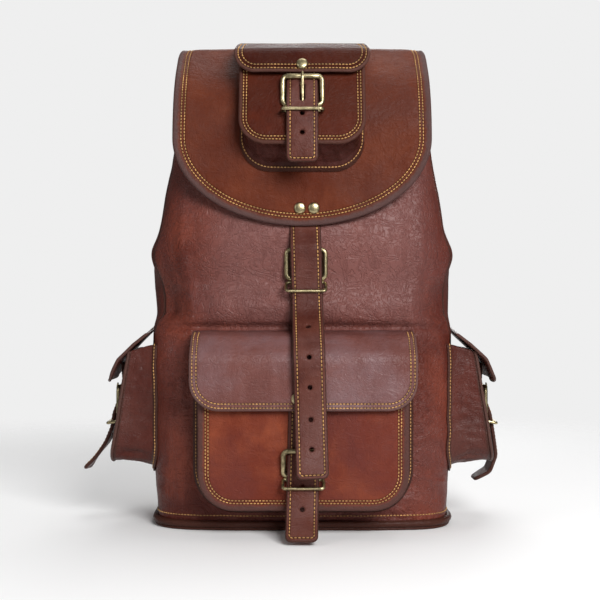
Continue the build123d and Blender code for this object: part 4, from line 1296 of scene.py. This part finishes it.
FLAP_TILT = math.asin(0.3309)
SEATS = {
    "main": seat_at((3.4, -80.78, 226)),
    "front": seat_at((0.9, -115.6, 54.5)),
    "flap": seat_at((0.3, -103.01, 378.0), tilt=FLAP_TILT),
    "left": seat_at((-174.19, 2, 97.59), tilt=SIDE_LEAN, side=-1),
    "right": seat_at((174.19, 2, 97.59), tilt=SIDE_LEAN, side=1),
}


def strap(name, seat, route, bends, holes, node, slot=None, wave=0.0):
    """A buckle strap. route runs from head to tip: how far out from the bar, and how far up it."""
    origin, across, up, out = seat
    line = rounded_route(route[::-1], bends[::-1])
    total = route_length(line)
    way_at = way_along(line)

    def place(flat):
        """Points and normals of the strap: across, and up from its tip."""
        spot, run = follow(line, flat[:, 1])
        point = origin + flat[:, :1] * across + spot[:, :1] * out + spot[:, 1:] * up
        normal = run[:, 1:] * out - run[:, :1] * up
        near_tip = np.exp(-flat[:, 1] / 24)
        lift = wave * near_tip * np.sin(flat[:, 1] / 6 + 1.5 * np.sign(flat[:, 0])) * np.abs(flat[:, 0] / 14)
        lift = lift + 0.35 * wall_noise(np.c_[flat * 0.03, flat[:, 0] * 0], 1.0, 51)
        return point + normal * lift[:, None], normal

    def from_tip(height):
        """Distance from the strap's tip to a height above its buckle's bar."""
        return float(np.interp(height, line[:, 1], way_at))

    outline = cut_shape(STRAP_WIDTH, 0, total, TIP_RADIUS, 0.5)
    punched = [round_hole(0, from_tip(h), 1.9) for h in holes]
    if slot:
        low, high = from_tip(slot[0]), from_tip(slot[1])
        punched.append(cut_shape(TONGUE_SLOT, low, high, 2.1, 2.1)[::-1])
    sheet = leather_sheet(name + "_strap_sheet", outline, place, strap_leather, STRAP_THICK, punched, 2.6,
                          leather_half(STRAP_THICK, STRAP_SEAM, 0.0, 0.2), depths=STRAP_DEPTHS)
    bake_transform(sheet)
    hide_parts(node)
    rows = seam_lines(outline, place, STRAP_THICK / 2 - 0.1, depths=STRAP_SEAM,
                      keep=lambda flat: flat[:, 1] < total - 2)
    sewn = stitches(name + "_strap_stitches", rows, tan_thread, pitch=3.4 * MM)
    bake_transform(sewn)


strap("main", seat_at((4.0, -80.78, 226), math.radians(1.6)),
      [(-2.0, 76), (-2.0, 45.5), (8.6, 28), (5.1, -4), (6.2, -28), (48, -64),
       (46, -118), (51, -146), (60, -171)],
      [16, 9, 30, 30, 14, 40, 50], [-43, -68, -94, -121.5, -146.5], "main_strap",
      wave=1.6)
strap("front", seat_at((0.7, -115.6, 54.5), math.radians(-1.5)),
      [(-0.1, 73), (-0.5, 24), (5.2, 0), (5.0, -12), (9.5, -32), (31, -51)], [12, 12, 20, 26], [-8.5, -27.5],
      "front_strap",
      slot=(1.5, 17.5), wave=0.8)
strap("flap_pocket", seat_at((0, -103.01, 378.0), tilt=FLAP_TILT),
      [(-0.5, 42), (-0.5, 28), (5.2, 0), (5.0, -14), (2.4, -34), (-3, -54)], [12, 14, 30, 30], [-11, -28.5],
      "flap_pocket_strap",
      slot=(1.0, 20.0), wave=0.5)
SIDE_STRAPS = {                  # the tail's route, its bends and how wavy it is
    "left": ([(8, -28), (24, -57)], [40], 1.4),
    "right": ([(4.4, -40), (-4, -54), (-20, -60)], [12, 8], 0.6),
}
for side_name, side in (("left", -1), ("right", 1)):
    tail, tail_bends, wave = SIDE_STRAPS[side_name]
    strap(side_name, SEATS[side_name], [(5.0, 50), (-0.5, 28), (5.2, 0), (5.0, -13)] + tail,
          [12, 14, 30] + tail_bends, [-22], side_name + "_strap",
          slot=(0.5, 21.5), wave=wave)

# ---- Buckles ------------------------------------------------------------------------------------
# Cast brass roller buckles: a rounded frame, a roller on its far side, a tapering tongue that
# turns on the bar, a wire keeper below, and the slotted leather tab that holds it all.

KEEPER_WIRE = 1.45
KEEPER_HALF = 17.8
FRAME_HALF = 17.3
FRAME_CORNER = 4.2


def buckle(name, reach, lift, keeper_below, keeper_far, keeper_rise, tab_length, parent):
    """A buckle's frame, tongue, keeper and tab, each on the body that moves it."""
    origin, across, up, out = SEATS[name]
    length = math.hypot(reach, lift)
    arm = (out * lift + up * reach) / length
    face = np.cross(across, arm)

    loop = rounded_route([(0, 0), (FRAME_HALF, 0), (FRAME_HALF, length), (-FRAME_HALF, length),
                          (-FRAME_HALF, 0), (0, 0)], [FRAME_CORNER] * 4, 0.9)[:-1]
    slim = np.clip((12.5 - np.abs(loop[:, 0])) / 2, 0, 1)
    thick = 2.3 - 0.85 * slim
    frame_bar = tube((origin + loop[:, :1] * across + loop[:, 1:] * arm) * MM, thick * MM, 14, closed=True,
                     flat=face, flatness=0.94)
    roller = turned([(1.2, -14.9), (2.0, -14.9), (2.3, -14.5), (2.3, -5), (2.26, 0), (2.3, 5), (2.3, 14.5),
                     (2.0, 14.9), (1.2, 14.9)], origin + arm * length, across, 20)
    piece = many(name + "_frame_and_roller", [frame_bar, roller], brass)
    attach(piece, name + "_buckle_frame")
    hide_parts(name + "_buckle_frame")

    turn = np.linspace(0, 2 * np.pi, 20, endpoint=False)
    spoke = np.cos(turn)[:, None] * out + np.sin(turn)[:, None] * up
    eye = tube((origin + spoke * 2.25) * MM, 1.75 * MM, 12, closed=True, flat=spoke, flatness=0.42)
    rest = lift + 2.3 + 0.2 + 1.1
    # a tongue in a slot stays under the strap until it comes through
    low = [(2.3, 10.5)] if lift > 2 else []
    prong_line = rounded_route([(1.7, 1.6)] + low + [(rest - 0.1, reach - 2.5), (rest + 0.1, reach + 3.2)],
                               [12] * len(low) + [6], 0.8)
    share = np.linspace(0, 1, len(prong_line))
    taper = np.interp(share, [0, 0.1, 0.75, 0.93, 0.98, 1.0], [1.2, 1.7, 1.45, 1.3, 1.0, 0.5])
    run = np.gradient(prong_line, axis=0)
    run /= np.linalg.norm(run, axis=1, keepdims=True)
    thin = run[:, 1:] * out - run[:, :1] * up
    prong = tube((origin + prong_line[:, :1] * out + prong_line[:, 1:] * up) * MM, taper * MM, 12, flat=thin,
                 flatness=0.72)
    piece = many(name + "_tongue", [eye, prong], brass)
    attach(piece, name + "_buckle_tongue")
    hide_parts(name + "_buckle_tongue")

    near = -0.2
    ring = rounded_route([(0, near), (KEEPER_HALF, near), (KEEPER_HALF, keeper_far),
                          (-KEEPER_HALF, keeper_far), (-KEEPER_HALF, near), (0, near)], [2.4] * 4, 0.8)[:-1]
    rise = keeper_rise * (keeper_far - ring[:, 1]) / (keeper_far - near)
    ring_points = origin + ring[:, :1] * across + ring[:, 1:] * out + (rise[:, None] - keeper_below) * up
    wire = tube(ring_points * MM, KEEPER_WIRE * MM, 10, closed=True, flat=up)
    keeper = many(name + "_keeper_wire", [wire], brass)
    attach(keeper, parent)
    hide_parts(name + "_buckle_keeper")

    wrap = rounded_route([(2.35, -5.5), (2.35, 2.35), (-2.35, 2.35), (-2.35, -tab_length)], [2.25, 2.25], 0.6)
    wrap = wrap[::-1]
    total = route_length(wrap)

    def tab_place(flat):
        """Points and normals of the tab: across, and along from its sewn end round the bar."""
        spot, way = follow(wrap, flat[:, 1])
        point = origin + flat[:, :1] * across + spot[:, :1] * out + spot[:, 1:] * up
        return point, way[:, 1:] * out - way[:, :1] * up

    outline = cut_shape(26, 0, total, 5, 0.5)
    tongue_gap = cut_shape(TONGUE_SLOT, total - 17.0, total - 1.6, 2.0, 2.0)[::-1]
    tab = leather_sheet(name + "_tab_sheet", outline, tab_place, strap_leather, 1.5, [tongue_gap], 2.0,
                        leather_half(1.5, (), 0.0, 0.0), leather_half(1.5, (), 0.0, 0.0),
                        depths=(0.25, 0.7, 1.5, 2.6))
    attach(tab, parent)
    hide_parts(name + "_buckle_tab")


buckle("main", 26.0, 0.4, 11.0, 8.9, 7.5, 34.0, "bag")
buckle("front", 22.0, 4.2, 9.5, 9.2, 6.5, 24.0, "bag")
buckle("flap", 26.0, 4.2, 8.5, 9.2, 3.0, 24.0, "main_flap")
buckle("left", 26.0, 4.2, 9.0, 9.2, 3.5, 24.0, "bag")
buckle("right", 26.0, 4.2, 9.0, 9.2, 3.5, 24.0, "bag")
node_colour(["mouth_eyelets", "left_slide", "right_slide"], brass)

# ---- Back: yoke, grab handle and shoulder straps ------------------------------------------------
# The yoke patch is sewn over the roots of the straps. A rolled handle swings in two loops on it.
# Each shoulder strap is a padded upper part and a plain lower part with a brass slide.

pad_leather = leather("pad_leather", (0.105, 0.028, 0.018), (0.170, 0.052, 0.034), (0.140, 0.062, 0.050),
                      patch=12.0, edge_width=0.0018)
YOKE_WIDTH, YOKE_LOW, YOKE_HIGH = 138.0, 322.0, 375.0


def back_y(x, z):
    """Depth of the back of the bag's skin at a place, in millimetres."""
    ring = body_skin[np.argmin(np.abs(BODY_ROWS - z))]
    facing = ring[ring[:, 1] > 0.02]
    order = np.argsort(facing[:, 0])
    return float(np.interp(x * MM, facing[order, 0], facing[order, 1])) / MM


def yoke_place(flat):
    """Points and normals of the yoke: across the back seen from behind, and up."""
    deep = np.array([back_y(-u, v) for u, v in flat])
    spot = np.stack([-flat[:, 0], deep + 1.7, flat[:, 1]], 1)
    return spot, np.tile([0.0, 0.994, 0.110], (len(flat), 1))


yoke_outline = cut_shape(YOKE_WIDTH, YOKE_LOW, YOKE_HIGH, 12, 12, step=1.6)
yoke = leather_sheet("yoke_patch", yoke_outline, yoke_place, pad_leather, 3.0, spacing=4.0)
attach(yoke, "bag")
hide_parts("shoulder_yoke")
yoke_seams = stitches("yoke_stitches", seam_lines(yoke_outline, yoke_place, 1.25), tan_thread)
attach(yoke_seams, "bag")

HANDLE_Y, HANDLE_Z = 77.0, 366.0
for side_name, side in (("left", -1), ("right", 1)):
    loop_line = rounded_route([(67.6, 351), (69.5, 359.6), (83.3, 359.6), (83.3, 372.4), (69.0, 372.4),
                               (66.2, 379)],
                              [3, 6.1, 6.1, 3], 0.8)

    def loop_place(flat, way=side):
        """Points and normals of a handle loop: across, and round from below."""
        spot, run = follow(loop_line, flat[:, 1])
        point = np.stack([way * 41.0 - flat[:, 0], spot[:, 0], spot[:, 1]], 1)
        return point, np.stack([0 * run[:, 0], run[:, 1], -run[:, 0]], 1)

    loop_outline = cut_shape(13, 0, route_length(loop_line), 2, 2)
    loop = leather_sheet(side_name + "_handle_loop", loop_outline, loop_place, strap_leather, 2.0, (), 2.0,
                         leather_half(2.0, (), 0.0, 0.0),
                         leather_half(2.0, (), 0.0, 0.0), depths=(0.25, 0.8, 1.6, 2.6))
    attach(loop, "bag")

handle_line = rounded_route([(34, 0), (52, 0), (49, -30), (-49, -30), (-52, 0), (-34, 0)], [7, 10, 10, 7],
                            1.2)
handle_points = np.stack([handle_line[:, 0], np.full(len(handle_line), HANDLE_Y),
                          HANDLE_Z + handle_line[:, 1]], 1)
swell = 4.15 + 0.35 * bump(handle_line[:, 1], -30, 12)
handle = new_piece("rolled_handle", *tube(handle_points * MM, swell * MM, 18, flat=(0, 1, 0), flatness=0.97),
                   strap_leather)
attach(handle, "top_handle")
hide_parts("top_handle")
lower = handle_points[handle_line[:, 1] < -3] + np.array([0, 4.2, 0])
handle_seam = stitches("handle_stitches", [lower * MM], tan_thread)
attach(handle_seam, "top_handle")

SHOULDER_TOP = np.array([45.0, 328.0])
SHOULDER_FOOT = np.array([84.0, 30.0])
PAD_LINE = rounded_route([(126, 99), (186, 105), (252, 98), (291, 82)], [90, 80], 1.5)
LOWER_LINE = rounded_route([(-4, 76.6), (10, 80.5), (66, 91), (108, 97.5), (126, 106.6), (150, 108.6)],
                           [30, 80, 40, 14], 1.5)
ROOT_LINE = rounded_route([(282, 84.5), (300, 74.5), (318, 71.2)], [40], 1.2)


def pad_half(depth, _):
    """Half a shoulder pad's thickness by distance from its edge: flat seam, then full."""
    seam = 1.3 * np.sqrt(1 - (1 - np.clip(depth / 1.3, 0, 1)) ** 2)
    share = np.clip((depth - 3.6) / 9, 0, 1)
    return seam + 3.5 * np.sin(share * np.pi / 2) ** 0.9 - 0.5 * bump(depth, 3.4, 0.8)


for side_name, side in (("left", -1), ("right", 1)):
    top = np.array([side * SHOULDER_TOP[0], 0, SHOULDER_TOP[1]])
    foot = np.array([side * SHOULDER_FOOT[0], 0, SHOULDER_FOOT[1]])
    along = (top - foot) / np.linalg.norm(top - foot)
    back = np.array([0.0, 1.0, 0.0])
    across = np.cross(along, back)

    def strap_on(line, foot=foot, along=along, across=across, back=back):
        """A place function for a strip whose line is drawn up the shoulder strap and out from the back."""

        def place(flat):
            """Points and normals of the strip: across, and up from its lower end."""
            spot, run = follow(line, flat[:, 1])
            point = foot + flat[:, :1] * across + spot[:, :1] * along + spot[:, 1:] * back
            return point, run[:, :1] * back - run[:, 1:] * along

        return place

    shoulder = side_name + "_shoulder_strap"
    pad_place = strap_on(PAD_LINE)
    pad_outline = cut_shape(46, 0, route_length(PAD_LINE), 14, 8)
    pad = leather_sheet(side_name + "_shoulder_pad_sheet", pad_outline, pad_place, pad_leather, 3.0, (), 2.6,
                        pad_half, pad_half, depths=rings((3.4, 7.0)) + [13.0])
    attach(pad, shoulder)
    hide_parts(side_name + "_shoulder_pad")
    pad_rows = seam_lines(pad_outline, pad_place, 1.2, depths=(3.4,)) + \
        seam_lines(pad_outline, pad_place, -1.2, depths=(3.4,))
    pad_seams = stitches(side_name + "_pad_stitches", pad_rows, tan_thread)
    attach(pad_seams, shoulder)

    lower_place = strap_on(LOWER_LINE)
    lower_outline = cut_shape(25, 0, route_length(LOWER_LINE), 5, 4)
    lower = leather_sheet(side_name + "_lower_strap_sheet", lower_outline, lower_place, strap_leather, 3.2,
                          (), 2.6, leather_half(3.2, STRAP_SEAM, 0.0, 0.2), depths=STRAP_DEPTHS)
    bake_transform(lower)
    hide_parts(side_name + "_lower_strap")
    lower_seams = stitches(side_name + "_lower_strap_stitches",
                           seam_lines(lower_outline, lower_place, 1.5, depths=STRAP_SEAM), tan_thread)
    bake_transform(lower_seams)

    root_place = strap_on(ROOT_LINE)
    root_outline = cut_shape(42, 0, route_length(ROOT_LINE), 6, 2)
    root = leather_sheet(side_name + "_strap_root", root_outline, root_place, strap_leather, 3.0, (), 3.0)
    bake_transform(root)

node_colour(["strap_anchors"], strap_leather)

# ---- Camera, lights and floor -------------------------------------------------------------------
# A product shot: the bag stands square to a long lens at about half its height. A broad panel
# above and to the right gives the leather its sheen; a weaker one on the left opens the shadows.

camera_data = bpy.data.cameras.new("camera")
camera_data.lens = 71.7
camera_data.sensor_width = 36.0
camera = bpy.data.objects.new("camera", camera_data)
camera.location = (-1.9 * MM, -1.150, 0.207)
camera.rotation_euler = (math.radians(90), 0, 0)
bpy.context.scene.collection.objects.link(camera)
bpy.context.scene.camera = camera
bpy.context.scene.view_settings.view_transform = "Standard"


def soft_light(name, place, aim, size, power):
    """A rectangular light panel at a place, turned to aim."""
    data = bpy.data.lights.new(name, "AREA")
    data.shape = "RECTANGLE"
    data.size, data.size_y = size
    data.energy = power
    lamp = bpy.data.objects.new(name, data)
    lamp.location = place
    lamp.rotation_euler = (Vector(aim) - Vector(place)).to_track_quat("-Z", "Y").to_euler()
    bpy.context.scene.collection.objects.link(lamp)


soft_light("sheen_panel", (0.60, -1.45, 0.95), (0.02, 0, 0.22), (0.8, 0.7), 33)
soft_light("left_panel", (-1.25, -0.95, 0.75), (0, 0, 0.22), (0.5, 0.8), 3)
soft_light("top_panel", (0.1, 0.35, 1.7), (0, 0, 0.2), (1.2, 1.2), 12)
soft_light("back_panel_light", (0.2, 1.5, 0.8), (0, 0, 0.25), (0.9, 0.7), 10)

world = bpy.data.worlds.new("studio")
bpy.context.scene.world = world
world.use_nodes = True
world_tree = world.node_tree
seen = world_tree.nodes.new("ShaderNodeLightPath")
glow = world_tree.nodes.new("ShaderNodeMix")
glow.data_type = "FLOAT"
link(world_tree, seen.outputs["Is Camera Ray"], glow.inputs[0])
glow.inputs[2].default_value = 0.11
glow.inputs[3].default_value = 0.863
link(world_tree, glow.outputs[0], world_tree.nodes["Background"].inputs["Strength"])
world_tree.nodes["Background"].inputs["Color"].default_value = (1, 1, 1, 1)

FLOOR_NEAR, FLOOR_FAR = 0.42, 1.1      # where the floor starts and ends fading into the background
floor_paint = bpy.data.materials.new("floor_paint")
floor_paint.use_nodes = True
floor_tree = floor_paint.node_tree
floor_shader = floor_tree.nodes["Principled BSDF"]
floor_shader.inputs["Base Color"].default_value = (0.90, 0.90, 0.90, 1)
floor_shader.inputs["Roughness"].default_value = 0.95
floor_shader.inputs["Specular IOR Level"].default_value = 0.1
floor_place = floor_tree.nodes.new("ShaderNodeTexCoord").outputs["Object"]
floor_reach = floor_tree.nodes.new("ShaderNodeVectorMath")
floor_reach.operation = "LENGTH"
link(floor_tree, floor_place, floor_reach.inputs[0])
link(floor_tree, math_node(floor_tree, "SUBTRACT", 1.0,
                           ramp(floor_tree, floor_reach.outputs["Value"], FLOOR_NEAR, FLOOR_FAR)),
     floor_shader.inputs["Alpha"])
floor = new_piece("floor", [(-3, -3, 0), (3, -3, 0), (3, 3, 0), (-3, 3, 0)], [(0, 1, 2, 3)], floor_paint)
